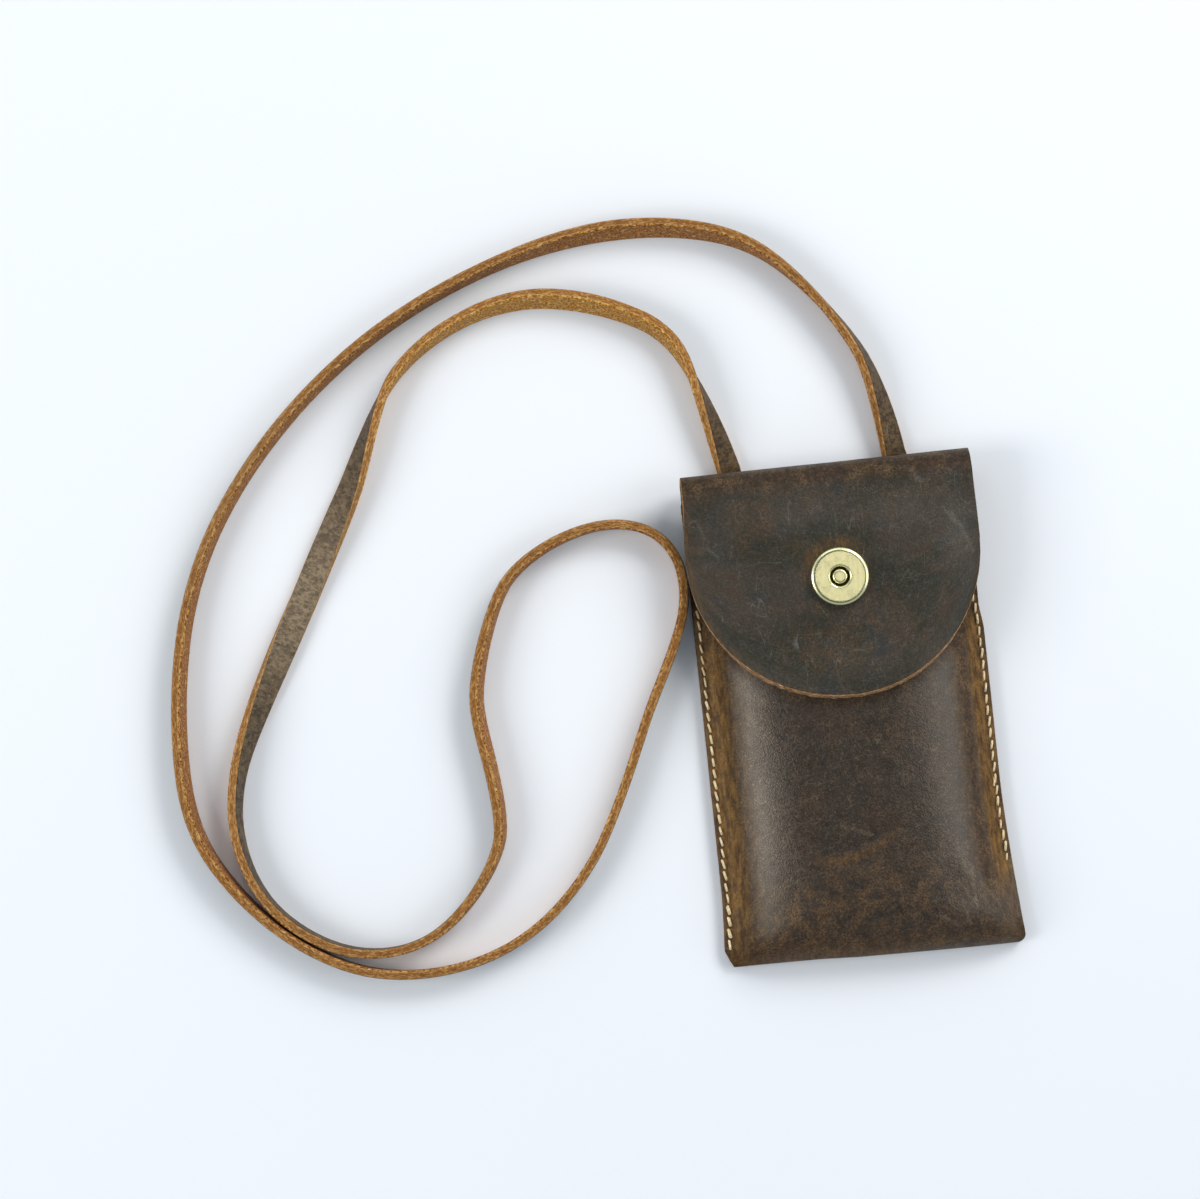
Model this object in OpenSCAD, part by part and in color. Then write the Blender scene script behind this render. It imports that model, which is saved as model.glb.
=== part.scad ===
// Leather phone pouch with a round-ended flap, a magnetic snap and one long flat strap.
// It lies on its back: X runs across the pouch, Y towards the top fold, Z up through the front.
// The origin is on the table under the middle of the pouch.

/* [Pouch] */
// Width between the side edges
body_w = 102; // [90:1:116]
// Length between the bottom fold and the top fold
body_l = 172; // [156:1:196]
// Thickness of the leather
leather_t = 2; // [1.6:0.1:2.4]
// Height of the puffed front above the table
puff_h = 19; // [17:0.5:23]
// How far the level patch under the snap lies below the crown of the front
seat_sink = 2; // [1.5:0.25:3]
// How far the open edge of the front lies below that patch
mouth_sink = 0.6; // [0.4:0.1:1.4]
// Distance from the top fold down to the open edge of the front
mouth_drop = 16; // [14:1:20]
// Length over which the front rises from the bottom fold
toe_l = 18; // [12:1:26]
// Width of the flat stitched flange at each side
flange_w = 5; // [4.4:0.2:7]
// How far each bottom corner flares beyond the straight side
ear_flare = 2; // [0:0.25:3]
// Width cut off each bottom corner
ear_cut = 3; // [1:0.5:4]
// Length of the cut at each bottom corner
ear_l = 6; // [4:0.5:9]

/* [Flap] */
// Distance from the top fold to the tip of the flap
flap_l = 82; // [78:1:90]
// How far the top fold lies below the level part of the flap
fold_dip = 3; // [2:0.25:4]
// How far the sides of the flap hang below its middle
side_droop = 5; // [2:0.5:7]

/* [Seams] */
// Distance between the awl holes
stitch_pitch = 4; // [3.4:0.1:5]
// Distance of the stitch line from the side edge
stitch_inset = 2.2; // [1.9:0.1:2.6]
// Thickness of the waxed thread
thread_d = 0.8; // [0.6:0.1:1]
// Slant of each stitch against the seam
stitch_slant = 9; // [4:1:14]

/* [Snap] */
// Distance from the top fold to the middle of the snap
snap_drop = 40; // [38:0.5:44]
// Diameter of the brass cover on the flap
cover_d = 20; // [18:0.5:23]
// Thickness of the brass cover
cover_h = 3; // [2.4:0.2:4]
// Diameter of the well in the cover
well_d = 6.3; // [5.8:0.1:8]
// Diameter of the domed rivet head in the well
rivet_head_d = 5.1; // [4.4:0.1:5.4]
// Diameter of the rivet shank through the flap
rivet_d = 3; // [2.4:0.1:3.2]
// Diameter of the magnet case and of the plate that it meets
case_d = 18; // [16:0.5:20]
// Height of the magnet case
case_h = 2; // [1.8:0.1:2.6]
// Thickness of the plate on the front
stud_h = 1.6; // [1.2:0.1:2]
// Diameter of the locating nub
nub_d = 4.4; // [4:0.1:4.8]

/* [Strap] */
// Width of the strap
strap_w = 9.5; // [8:0.5:10.5]
// Thickness of the strap
strap_t = 3.2; // [2.6:0.1:3.6]
// Thickness of the skived ends of the strap
strap_end_t = 2; // [1.6:0.1:2.2]
// Distance of each strap slot from the centre line
strap_x = 29; // [26:0.5:31]
// Distance from the top fold to the middle of the slots
slot_drop = 24; // [23:0.5:26]
// Length of each slot along the strap
slot_l = 8.6; // [8.4:0.1:9.4]
// Distance from a slot to its rivet
rivet_reach = 10; // [9.5:0.5:11]
// Diameter of the double-cap rivets
cap_d = 8; // [7:0.5:9]
// Height of a rivet cap
cap_h = 1.2; // [1:0.1:1.4]
// Diameter of the rivet posts
post_d = 2.4; // [2:0.1:2.8]

/* [Hidden] */

dark_leather = [0.27, 0.22, 0.19];
brown_leather = [0.33, 0.23, 0.17];
tan_leather = [0.66, 0.45, 0.2];
cream_thread = [0.94, 0.86, 0.68];
pale_brass = [0.88, 0.84, 0.62];
steel_grey = [0.62, 0.62, 0.64];

// Clearances shared by the fitted pieces
overrun = 1;
shank_clear = 0.1;
lie_clear = 0.05;
strap_clear = 0.4;
slot_clear = 0.6;

// Heights through the snap, from the front up
seat_h = puff_h - seat_sink;
case_z = seat_h + stud_h;
flap_under = case_z + case_h;
flap_top = flap_under + leather_t;
mouth_h = seat_h - mouth_sink;

// The back is lifted towards the top, so that the strap ends pass beneath it
back_rise = strap_end_t + strap_clear;
fold_r = (flap_top - fold_dip - back_rise) / 2;
fold_y = body_l / 2 - fold_r;
fold_z = back_rise + fold_r;
snap_y = body_l / 2 - snap_drop;
slot_y = body_l / 2 - slot_drop;
rivet_y = slot_y - rivet_reach;
strap_tail = 7;
rise_end = rivet_y - strap_tail - 3 * lie_clear;
rise_l = 24;
rise_start = rise_end - rise_l;
rise_steps = 8;
mouth_y = body_l / 2 - mouth_drop;
bottom_y = -body_l / 2;

function blend_in(u) = let(c = max(0, min(1, u))) c * c * (3 - 2 * c);
function lift(y) = back_rise * blend_in((y - rise_start) / rise_l);
function rise_y(k) = rise_start + rise_l * k / rise_steps;

// Half the width of the body at y: straight sides, flared bottom corners with a slanted cut
flare_l = 45;
function half_w(y) = let(d = y - bottom_y)
    body_w / 2 + ear_flare * blend_in(1 - d / flare_l) - ear_cut * max(0, 1 - d / ear_l);

// Crown line of the front from the bottom to the open edge
seat_half = 12;
crown_run = 26;
function crown(y) =
    y < snap_y + seat_half
        ? puff_h - seat_sink * blend_in((y - snap_y + seat_half + crown_run) / crown_run)
        : seat_h - mouth_sink * blend_in((y - snap_y - seat_half) / (mouth_y - snap_y - seat_half));

// Share of the full puff at a share of the half width
puff_power_share = 3.2;
puff_round_share = 0.72;
function puff(share) = pow(max(0, 1 - pow(abs(share), puff_power_share)), puff_round_share);

// Steps of the front's grid: nose, toe, level run, the rise that it shares with the back, mouth
side_steps = 10;
nose_steps = 3;
toe_steps = 6;
run_steps = 9;
mouth_steps = 4;
top_steps = run_steps + rise_steps + mouth_steps;
toe_min = leather_t + 0.25 * leather_t;

function col_share(k) = -cos(180 * k / (2 * side_steps));
function toe_reach(share) = toe_min + (toe_l - toe_min) * puff(share);
function top_y(toe_y, k) =
    k < run_steps ? toe_y + (rise_start - toe_y) * k / run_steps
    : k <= run_steps + rise_steps ? rise_y(k - run_steps)
    : rise_end + (mouth_y - rise_end) * (k - run_steps - rise_steps) / mouth_steps;
function front_x(share, edge, y, inset) = edge == 0 ? (half_w(y) - flange_w - inset) * share : edge * half_w(y);
function front_z(share, y, skin) =
    lift(y) + 2 * leather_t - skin + (crown(y) - lift(y) - 2 * leather_t) * puff(share);

// A point of the front's toe: nose quarter round, then the quarter ellipse up to the top
function toe_point(share, edge, angle, skin) = let(
    reach = toe_reach(share),
    y = bottom_y + skin + (reach - skin) * (1 - cos(angle)),
    z = leather_t + (front_z(share, bottom_y + reach, skin) - leather_t) * sin(angle))
    [front_x(share, edge, y, skin), y, z];
function nose_point(share, edge, angle) = let(y = bottom_y + leather_t * (1 - sin(angle)))
    [front_x(share, edge, y, 0), y, leather_t * (1 - cos(angle))];
function top_point(share, edge, k, skin) = let(y = top_y(bottom_y + toe_reach(share), k))
    [front_x(share, edge, y, skin), y, front_z(share, y, skin)];

// Each column is a share of the half width and, at the two flange edges, a side
front_cols = concat([[1, -1]], [for (k = [0 : 2 * side_steps]) [col_share(k), 0]], [[1, 1]]);
function outer_row(v) = [for (c = front_cols)
    v < nose_steps ? nose_point(c[0], c[1], 90 * v / nose_steps)
    : v <= nose_steps + toe_steps ? toe_point(c[0], c[1], 90 * (v - nose_steps) / toe_steps, 0)
    : top_point(c[0], c[1], v - nose_steps - toe_steps, 0)];
function inner_row(v) = [for (c = front_cols)
    v <= toe_steps ? toe_point(c[0], c[1], 90 * v / toe_steps, leather_t)
    : top_point(c[0], c[1], v - toe_steps, leather_t)];

// Closed skin between an outer grid and an inner grid of the same width.
// The outer grid may have extra rows at its start, which close onto the first inner row.
module leather_skin(outer, inner) {
    cols = len(outer[0]);
    extra = len(outer) - len(inner);
    rows = len(inner);
    base = len(outer) * cols;
    function o(v, c) = v * cols + c;
    function i(v, c) = base + v * cols + c;
    points = concat([for (row = outer) each row], [for (row = inner) each row]);
    faces = concat(
        [for (v = [0 : len(outer) - 2], c = [0 : cols - 2])
            each [[o(v, c), o(v + 1, c), o(v + 1, c + 1)], [o(v, c), o(v + 1, c + 1), o(v, c + 1)]]],
        [for (v = [0 : rows - 2], c = [0 : cols - 2])
            each [[i(v, c), i(v + 1, c + 1), i(v + 1, c)], [i(v, c), i(v, c + 1), i(v + 1, c + 1)]]],
        [for (c = [0 : cols - 2])
            each [[o(0, c), o(0, c + 1), i(0, c + 1)], [o(0, c), i(0, c + 1), i(0, c)]]],
        [for (c = [0 : cols - 2])
            each [[o(len(outer) - 1, c), i(rows - 1, c + 1), o(len(outer) - 1, c + 1)],
                  [o(len(outer) - 1, c), i(rows - 1, c), i(rows - 1, c + 1)]]],
        extra == 0 ? [] : [for (v = [0 : extra - 1])
            each [[o(v, 0), i(0, 0), o(v + 1, 0)],
                  [o(v, cols - 1), o(v + 1, cols - 1), i(0, cols - 1)]]],
        [for (v = [0 : rows - 2])
            each [[o(v + extra, 0), i(v, 0), i(v + 1, 0)],
                  [o(v + extra, 0), i(v + 1, 0), o(v + extra + 1, 0)],
                  [o(v + extra, cols - 1), i(v + 1, cols - 1), i(v, cols - 1)],
                  [o(v + extra, cols - 1), o(v + extra + 1, cols - 1), i(v + 1, cols - 1)]]]);
    polyhedron(points = points, faces = faces, convexity = 6);
}

module front_panel() {
    color(brown_leather)
    difference() {
        leather_skin([for (v = [0 : nose_steps + toe_steps + top_steps]) outer_row(v)],
                     [for (v = [0 : toe_steps + top_steps]) inner_row(v)]);
        translate([0, snap_y, seat_h - leather_t - overrun])
            cylinder(d = stud_post_d + 2 * shank_clear, h = leather_t + 2 * overrun, $fn = 32);
    }
}

// Side view of the back at a height above its underside, from the bottom seam to the top fold
arc_steps = 8;
function back_line(skin) = concat(
    [[bottom_y + leather_t, skin]],
    [for (k = [0 : rise_steps]) [rise_y(k), lift(rise_y(k)) + skin]],
    [for (k = [0 : arc_steps]) let(a = 90 * k / arc_steps)
        [fold_y + (fold_r - skin) * sin(a), fold_z - (fold_r - skin) * cos(a)]]);
function reversed(list) = [for (k = [len(list) - 1 : -1 : 0]) list[k]];

module across(width) {
    rotate([90, 0, 90]) linear_extrude(height = width, center = true) children();
}

// Plan outline of the body, as far in from its edge as inset says
plan_steps = 12;
function plan_side(inset) = concat(
    [[half_w(bottom_y) - inset, bottom_y], [half_w(bottom_y + ear_l) - inset, bottom_y + ear_l]],
    [for (k = [1 : plan_steps]) let(y = bottom_y + ear_l + (flare_l - ear_l) * k / plan_steps)
        [half_w(y) - inset, y]],
    [[body_w / 2 - inset, body_l / 2]]);
function mirrored(side) = [for (p = side) [-p[0], p[1]]];

// Groove that holds the back run of stitches, along one side
groove_w = 2 * thread_d;
groove_d = thread_d + 2 * lie_clear;
module stitch_groove(side) {
    intersection() {
        translate([0, 0, -overrun]) linear_extrude(height = fold_z)
            polygon([for (p = concat(plan_side(stitch_inset - groove_w / 2),
                                     reversed(plan_side(stitch_inset + groove_w / 2)))) [side * p[0], p[1]]]);
        across(body_w + 2 * overrun + 2 * ear_flare)
            polygon(concat([for (p = groove_line) [p[0], p[1] - overrun]],
                           reversed([for (p = groove_line) [p[0], p[1] + groove_d]])));
    }
}
groove_line = concat(
    [[bottom_y + 2 * leather_t, 0]],
    [for (k = [0 : rise_steps]) [rise_y(k), lift(rise_y(k))]],
    [[mouth_y, back_rise]]);

module back_panel() {
    color(dark_leather)
    difference() {
        intersection() {
            across(body_w + 2 * ear_flare + 2 * overrun)
                polygon(concat(back_line(0), reversed(back_line(leather_t))));
            translate([0, 0, -overrun]) linear_extrude(height = fold_z + 2 * overrun)
                polygon(concat(plan_side(0), reversed(mirrored(plan_side(0)))));
        }
        for (side = [-1, 1]) {
            stitch_groove(side);
            translate([side * strap_x, slot_y, back_rise + leather_t / 2])
                cube([strap_w + 2 * slot_clear, slot_l, leather_t + 2 * overrun], center = true);
            translate([side * strap_x, rivet_y, back_rise - overrun])
                cylinder(d = post_d + 2 * shank_clear, h = leather_t + 2 * overrun, $fn = 32);
        }
    }
}

// Side view of the flap's outer face: fold quarter, slope up to the level part, then level
fold_steps = 7;
slope_steps = 4;
round_steps = 9;
slope_end = snap_y + seat_half + leather_t;
round_y = body_l / 2 - flap_l + body_w / 2;
tip_angle = 85;
flap_line = concat(
    [for (k = [0 : fold_steps]) let(a = 90 * k / fold_steps)
        [fold_y + fold_r * cos(a), fold_z + fold_r * sin(a), a]],
    [for (k = [1 : slope_steps]) let(s = k / slope_steps)
        [fold_y + (slope_end - fold_y) * s, fold_z + fold_r + fold_dip * blend_in(s),
         90 - atan(6 * s * (1 - s) * fold_dip / (slope_end - fold_y))]],
    [for (k = [0 : round_steps]) [round_y - body_w / 2 * sin(tip_angle * k / round_steps), flap_top, 90]]);
function flap_half(y) = let(d = round_y - y)
    d <= 0 ? body_w / 2 : sqrt(max(0, pow(body_w / 2, 2) - d * d));

// The middle stays level so that the snap seats on it, and the sides hang
level_half = case_d / 2 + 4 * leather_t;
function droop(x, y) = side_droop * pow(max(0, abs(x) - level_half) / (body_w / 2 - level_half), 2)
    * blend_in((fold_y - y) / (fold_y - slope_end));
flap_cols = 10;
function flap_row(p, skin) = [for (c = [-flap_cols : flap_cols])
    let(x = flap_half(p[0]) * c / flap_cols)
    [x, p[0] - skin * cos(p[2]), p[1] - skin * sin(p[2]) - droop(x, p[0])]];

module flap() {
    color(dark_leather)
    difference() {
        leather_skin([for (p = reversed(flap_line)) flap_row(p, 0)],
                     [for (p = reversed(flap_line)) flap_row(p, leather_t)]);
        translate([0, snap_y, flap_under - overrun])
            cylinder(d = rivet_d + 2 * shank_clear, h = leather_t + 2 * overrun, $fn = 32);
    }
}

// One stitch: the run on the front, the leg through both layers and the run on the back
module stitch(back_z, front_z) {
    run = stitch_pitch - 0.75 * thread_d;
    nib = thread_d / 3;
    rotate([90, 0, 90]) linear_extrude(height = thread_d, center = true)
        polygon([[nib, back_z], [run - nib, back_z], [run, back_z + nib], [run, back_z + thread_d],
                 [thread_d, back_z + thread_d], [thread_d, front_z], [run, front_z],
                 [run, front_z + thread_d - nib], [run - nib, front_z + thread_d],
                 [nib, front_z + thread_d], [0, front_z + thread_d - nib], [0, back_z + nib]]);
}

module seam_thread(side) {
    first_y = bottom_y + ear_l;
    last_y = mouth_y - stitch_pitch - thread_d;
    for (k = [0 : floor((last_y - first_y) / stitch_pitch)]) {
        y = first_y + k * stitch_pitch;
        slope = atan((lift(y + stitch_pitch) - lift(y)) / stitch_pitch);
        turn = atan((half_w(y + stitch_pitch) - half_w(y)) / stitch_pitch);
        translate([side * (half_w(y) - stitch_inset), y, lift(y)])
            rotate([slope, 0, -side * (turn + stitch_slant)])
            stitch(lie_clear, 2 * leather_t);
    }
}
module left_seam_thread() { color(cream_thread) seam_thread(-1); }
module right_seam_thread() { color(cream_thread) seam_thread(1); }

// Heights of the strap's centre line above the panel, below it and on the table
in_z = back_rise + leather_t + lie_clear + strap_end_t / 2;
under_z = lie_clear + strap_end_t / 2;
slot_reach = 3.5;
right_lean = -2.4;
left_lean = -3;
function lying_z(roll, t = strap_t) = lie_clear + (strap_w * abs(sin(roll)) + t * abs(cos(roll))) / 2;

// Where the strap starts to turn and thicken, under the curve of the top fold
turn_share = 1.3;
turn_roll = 5;
turn_run = 5;
turn_t = 1.15 * strap_end_t;

// Strap end on one side, from its tail inside the pouch to the table under the top fold:
// place, roll of the grain side and thickness
function strap_end(side, lean) = [
    [[side * strap_x, rivet_y - strap_tail, in_z], 0, strap_end_t],
    [[side * strap_x, slot_y - slot_reach, in_z], 0, strap_end_t],
    [[side * strap_x, slot_y + slot_reach, under_z], 0, strap_end_t],
    [[side * strap_x + lean, fold_y, under_z], 0, strap_end_t],
    [[side * strap_x + turn_share * lean, fold_y + turn_run, lying_z(turn_roll, turn_t)],
     side * turn_roll, turn_t]];

// Free run of the strap from the right end round to the left end: x, y and roll of the grain side,
// which is 0 facing up and 90 facing the right-hand side of the run
strap_route = [
    [24.5, 87, 26], [17, 121.5, 72], [-5.5, 154, 91], [-30.5, 170, 108], [-68, 174.5, 115],
    [-109, 166.5, 105], [-151, 147.5, 103], [-187, 119.5, 102], [-214.5, 85, 102],
    [-229.5, 47.5, 103], [-234.5, 2.5, 101], [-228, -28.5, 97], [-206, -57, 91], [-177.5, -74, 88],
    [-145.5, -76, 85], [-116, -64.5, 87], [-91.5, -38.5, 88], [-70, 6, 90], [-55, 38, 90],
    [-55.5, 59.5, 90], [-68.5, 71, 90], [-90.5, 70.5, 93], [-115.5, 55.5, 96], [-129, 21, 102],
    [-128, -2, 102], [-126.5, -32.5, 98], [-142.5, -56.5, 94], [-163, -67.5, 93],
    [-186.5, -65, 90], [-208, -48.5, 88], [-217.5, -23, 82], [-212.5, 7, 67], [-189.5, 51.5, 8],
    [-165.5, 95, -42], [-148, 130, -91], [-122, 148.5, -99], [-92.5, 153.5, -112],
    [-61.5, 144, -108], [-45, 127, -96], [-33.5, 87, -26]];

// Point halfway between b and c on a smooth curve through a, b, c and d
function halfway(a, b, c, d) = (9 * (b + c) - a - d) / 16;
last_run = len(strap_route) - 1;
smooth_route = [for (k = [0 : last_run])
    each k == last_run ? [strap_route[k]]
        : [strap_route[k], halfway(strap_route[max(0, k - 1)], strap_route[k],
                                   strap_route[k + 1], strap_route[min(last_run, k + 2)])]];
strap_rings = concat(
    strap_end(1, right_lean),
    [for (p = smooth_route) [[p[0], p[1], lying_z(p[2])], p[2], strap_t]],
    reversed(strap_end(-1, left_lean)));

// Flat section with cut corners, turned by the roll and set square to the run
corner_share = 0.16;
function strap_ring(k) = let(
    here = strap_rings[k],
    ahead = strap_rings[min(len(strap_rings) - 1, k + 1)][0],
    behind = strap_rings[max(0, k - 1)][0],
    run = (ahead - behind) / norm(ahead - behind),
    right = cross(run, [0, 0, 1]) / norm(cross(run, [0, 0, 1])),
    up = cross(right, run),
    grain = cos(here[1]) * up + sin(here[1]) * right,
    side = cos(here[1]) * right - sin(here[1]) * up,
    w = strap_w / 2, t = here[2] / 2, c = corner_share * here[2])
    [for (p = [[w, -t + c], [w, t - c], [w - c, t], [-w + c, t],
               [-w, t - c], [-w, -t + c], [-w + c, -t], [w - c, -t]])
        here[0] + p[0] * side + p[1] * grain];

module strap() {
    sides = 8;
    rings = len(strap_rings);
    color(tan_leather)
    polyhedron(
        points = [for (k = [0 : rings - 1]) each strap_ring(k)],
        faces = concat(
            [[for (s = [0 : sides - 1]) s]],
            [[for (s = [sides - 1 : -1 : 0]) (rings - 1) * sides + s]],
            [for (k = [0 : rings - 2], s = [0 : sides - 1]) let(n = (s + 1) % sides)
                each [[k * sides + s, (k + 1) * sides + s, (k + 1) * sides + n],
                      [k * sides + s, (k + 1) * sides + n, k * sides + n]]]),
        convexity = 8);
}

// Low dome with a flat underside
module domed_cap(d, h) {
    rim_share = 0.35;
    rotate_extrude($fn = 48)
        polygon(concat([[0, 0], [d / 2, 0]],
            [for (k = [0 : 6]) let(a = 90 * k / 6) [d / 2 * cos(a), h * (rim_share + (1 - rim_share) * sin(a))]]));
}

// Double-cap rivets: the post and its inner cap, and the outer cap pressed onto the post
inner_cap_z = back_rise + leather_t + 2 * lie_clear + strap_end_t;
module strap_rivet_posts() {
    color(pale_brass)
    for (side = [-1, 1]) translate([side * strap_x, rivet_y, 0]) {
        translate([0, 0, inner_cap_z]) domed_cap(cap_d, cap_h);
        translate([0, 0, back_rise]) cylinder(d = post_d, h = inner_cap_z - back_rise, $fn = 32);
    }
}
module strap_rivet_caps() {
    color(pale_brass)
    for (side = [-1, 1]) translate([side * strap_x, rivet_y, back_rise])
        mirror([0, 0, 1]) domed_cap(cap_d, cap_h);
}

// Brass cover with a rounded rim and a chamfered well for the rivet head
cover_round = 0.8;
well_floor = 0.8;
well_chamfer = 0.6;
module snap_cover() {
    color(pale_brass) translate([0, snap_y, flap_top]) rotate_extrude($fn = 96)
        polygon(concat(
            [[rivet_d / 2 + shank_clear, 0], [cover_d / 2 - cover_round / 2, 0], [cover_d / 2, cover_round / 2]],
            [for (k = [0 : 6]) let(a = 90 * k / 6)
                [cover_d / 2 - cover_round * (1 - cos(a)), cover_h - cover_round * (1 - sin(a))]],
            [[well_d / 2 + well_chamfer, cover_h], [well_d / 2, cover_h - well_chamfer],
             [well_d / 2, well_floor], [rivet_d / 2 + shank_clear, well_floor]]));
}

// Rivet that joins the cover, the flap and the base plate: domed head above, flared tail below
head_h = 1.5;
tail_h = 0.4;
tail_flare = 0.7;
plate_h = 0.5;
case_wall = 0.3;
base_z = flap_under - plate_h;
module snap_rivet() {
    color(pale_brass) translate([0, snap_y, 0]) {
        translate([0, 0, flap_top + well_floor]) domed_cap(rivet_head_d, head_h);
        translate([0, 0, base_z - tail_h])
            cylinder(d = rivet_d, h = flap_top + well_floor - base_z + tail_h, $fn = 48);
        translate([0, 0, base_z - tail_h])
            cylinder(d = rivet_d + 2 * tail_flare, h = tail_h, $fn = 48);
    }
}

// Brass case: a shallow cup that opens to the flap, with a hole that the nub enters
nub_clear = 0.8;
magnet_clear = 0.1;
module snap_magnet_case() {
    color(pale_brass) translate([0, snap_y, case_z]) rotate_extrude($fn = 96)
        polygon([[nub_d / 2 + nub_clear, 0], [case_d / 2 - 2 * case_wall, 0], [case_d / 2, 2 * case_wall],
                 [case_d / 2, case_h], [case_d / 2 - case_wall, case_h],
                 [case_d / 2 - case_wall, 2 * case_wall], [case_d / 2 - 2 * case_wall, case_wall],
                 [nub_d / 2 + nub_clear, case_wall]]);
}

magnet_r = case_d / 2 - 2 * case_wall - magnet_clear;
module snap_magnet() {
    color(steel_grey) translate([0, snap_y, case_z + case_wall])
        difference() {
            cylinder(r = magnet_r, h = case_h - case_wall - plate_h, $fn = 96);
            translate([0, 0, -overrun])
                cylinder(r = nub_d / 2 + nub_clear, h = case_h + overrun, $fn = 64);
        }
}

module snap_base_plate() {
    color(steel_grey) translate([0, snap_y, base_z])
        difference() {
            cylinder(r = magnet_r, h = plate_h, $fn = 96);
            translate([0, 0, -overrun])
                cylinder(d = rivet_d + 2 * shank_clear, h = plate_h + 2 * overrun, $fn = 48);
        }
}

// Steel plate on the front that the magnet holds
stud_post_d = 2.6;
stud_round = 0.4;
module stud_plate() {
    color(pale_brass) translate([0, snap_y, seat_h]) rotate_extrude($fn = 96)
        polygon([[stud_post_d / 2 + shank_clear, 0], [case_d / 2, 0], [case_d / 2, stud_h - stud_round],
                 [case_d / 2 - stud_round, stud_h], [stud_post_d / 2 + shank_clear, stud_h]]);
}

// Rivet of the plate: its head is the locating nub, and its tail is spread under the washer
washer_d = 12;
washer_h = 0.6;
washer_z = seat_h - leather_t - lie_clear - washer_h;
nub_h = 0.7;
module stud_rivet() {
    tail_z = washer_z - tail_h;
    color(pale_brass) translate([0, snap_y, 0]) {
        translate([0, 0, case_z]) domed_cap(nub_d, nub_h);
        translate([0, 0, tail_z]) cylinder(d = stud_post_d, h = case_z - tail_z, $fn = 48);
        translate([0, 0, tail_z]) cylinder(d = stud_post_d + 2 * tail_flare, h = tail_h, $fn = 48);
    }
}

module stud_washer() {
    color(steel_grey) translate([0, snap_y, washer_z])
        difference() {
            cylinder(d = washer_d, h = washer_h, $fn = 64);
            translate([0, 0, -overrun])
                cylinder(d = stud_post_d + 2 * shank_clear, h = washer_h + 2 * overrun, $fn = 48);
        }
}

back_panel();
front_panel();
flap();
left_seam_thread();
right_seam_thread();
strap();
strap_rivet_posts();
strap_rivet_caps();
snap_cover();
snap_rivet();
snap_magnet_case();
snap_magnet();
snap_base_plate();
stud_plate();
stud_rivet();
stud_washer();
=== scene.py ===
# Leather phone pouch with a round-ended flap, a riveted magnetic snap, saddle-stitched sides
# and one long flat strap, lying on its back on a pale table.
import math

import bmesh
import bpy
import numpy as np
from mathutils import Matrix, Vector


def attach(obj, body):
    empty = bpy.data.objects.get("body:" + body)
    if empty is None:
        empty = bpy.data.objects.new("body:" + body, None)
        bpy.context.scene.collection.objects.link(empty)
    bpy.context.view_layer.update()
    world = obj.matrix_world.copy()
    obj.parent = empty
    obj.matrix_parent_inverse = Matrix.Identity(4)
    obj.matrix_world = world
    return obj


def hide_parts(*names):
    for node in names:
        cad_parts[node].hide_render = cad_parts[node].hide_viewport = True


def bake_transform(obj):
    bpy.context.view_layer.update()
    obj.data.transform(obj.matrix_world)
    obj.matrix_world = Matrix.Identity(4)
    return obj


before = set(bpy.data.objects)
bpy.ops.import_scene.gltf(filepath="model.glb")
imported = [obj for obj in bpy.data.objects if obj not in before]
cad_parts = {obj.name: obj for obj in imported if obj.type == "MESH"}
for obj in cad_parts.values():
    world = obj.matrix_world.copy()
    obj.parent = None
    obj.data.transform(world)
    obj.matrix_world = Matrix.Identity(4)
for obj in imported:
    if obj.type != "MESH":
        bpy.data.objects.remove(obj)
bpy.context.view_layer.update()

MM = 0.001

# Sizes of the pouch in millimetres, as the solids have them
LEATHER = 2.0
HALF_W = 51.0
BOTTOM_Y, TOP_Y = -86.0, 86.0
MOUTH_Y = 70.0
FLANGE_W = 5.0
PUFF_H, SEAT_H, MOUTH_H = 19.0, 17.0, 16.4
TOE_L, TOE_MIN = 18.0, 2.5
RISE, RISE_START, RISE_L = 2.4, 20.85, 24.0
FOLD_R, FOLD_Y, FOLD_Z = 8.6, 77.4, 11.0
FLAP_TOP, FOLD_DIP, SLOPE_END = 22.6, 3.0, 60.0
ROUND_Y, LEVEL_HALF, SIDE_DROOP = 55.0, 17.0, 5.0
SNAP_Y, SEAT_HALF, CROWN_RUN = 46.0, 12.0, 26.0
STITCH_INSET, PITCH, FIRST_STITCH, STITCHES = 2.2, 4.0, -80.0, 37
SLOT_Y, SLOT_W, SLOT_L, SLOT_ROUND = 62.0, 10.7, 8.6, 1.0
GROOVE_D, GROOVE_HALF, RIVET_Y, STUD_H = 0.95, 0.95, 52.0, 1.6

# The cut of this pouch is a little uneven, so some sizes are given for the left and the right
BODY_HALF, FLARE, FLARE_L = (51.5, 49.7), (1.6, 3.6), (28.0, 56.0)
CORNER_CUT, CUT_L, CUT_POWER = (3.0, 2.6), (6.0, 4.0), (1.0, 3.0)
FOLD_HALF, FLAP_HALF = (51.2, 49.8), (52.4, 50.2)


def linear(code):
    """Linear colour of an sRGB hex value."""
    values = [int(code[k:k + 2], 16) / 255 for k in (1, 3, 5)]
    return [v / 12.92 if v <= 0.04045 else ((v + 0.055) / 1.055) ** 2.4 for v in values] + [1.0]


def ease(u):
    u = np.clip(u, 0.0, 1.0)
    return u * u * (3 - 2 * u)


def bell(d, width):
    return np.exp(-(d / width) ** 2)


def along_of(line):
    """Length along a line of points, from its first."""
    return np.concatenate([[0], np.cumsum(np.linalg.norm(np.diff(line, axis=0), axis=1))])


def unit(vectors):
    """The same directions, each with length 1."""
    return vectors / np.maximum(np.linalg.norm(vectors, axis=-1, keepdims=True), 1e-9)


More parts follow.
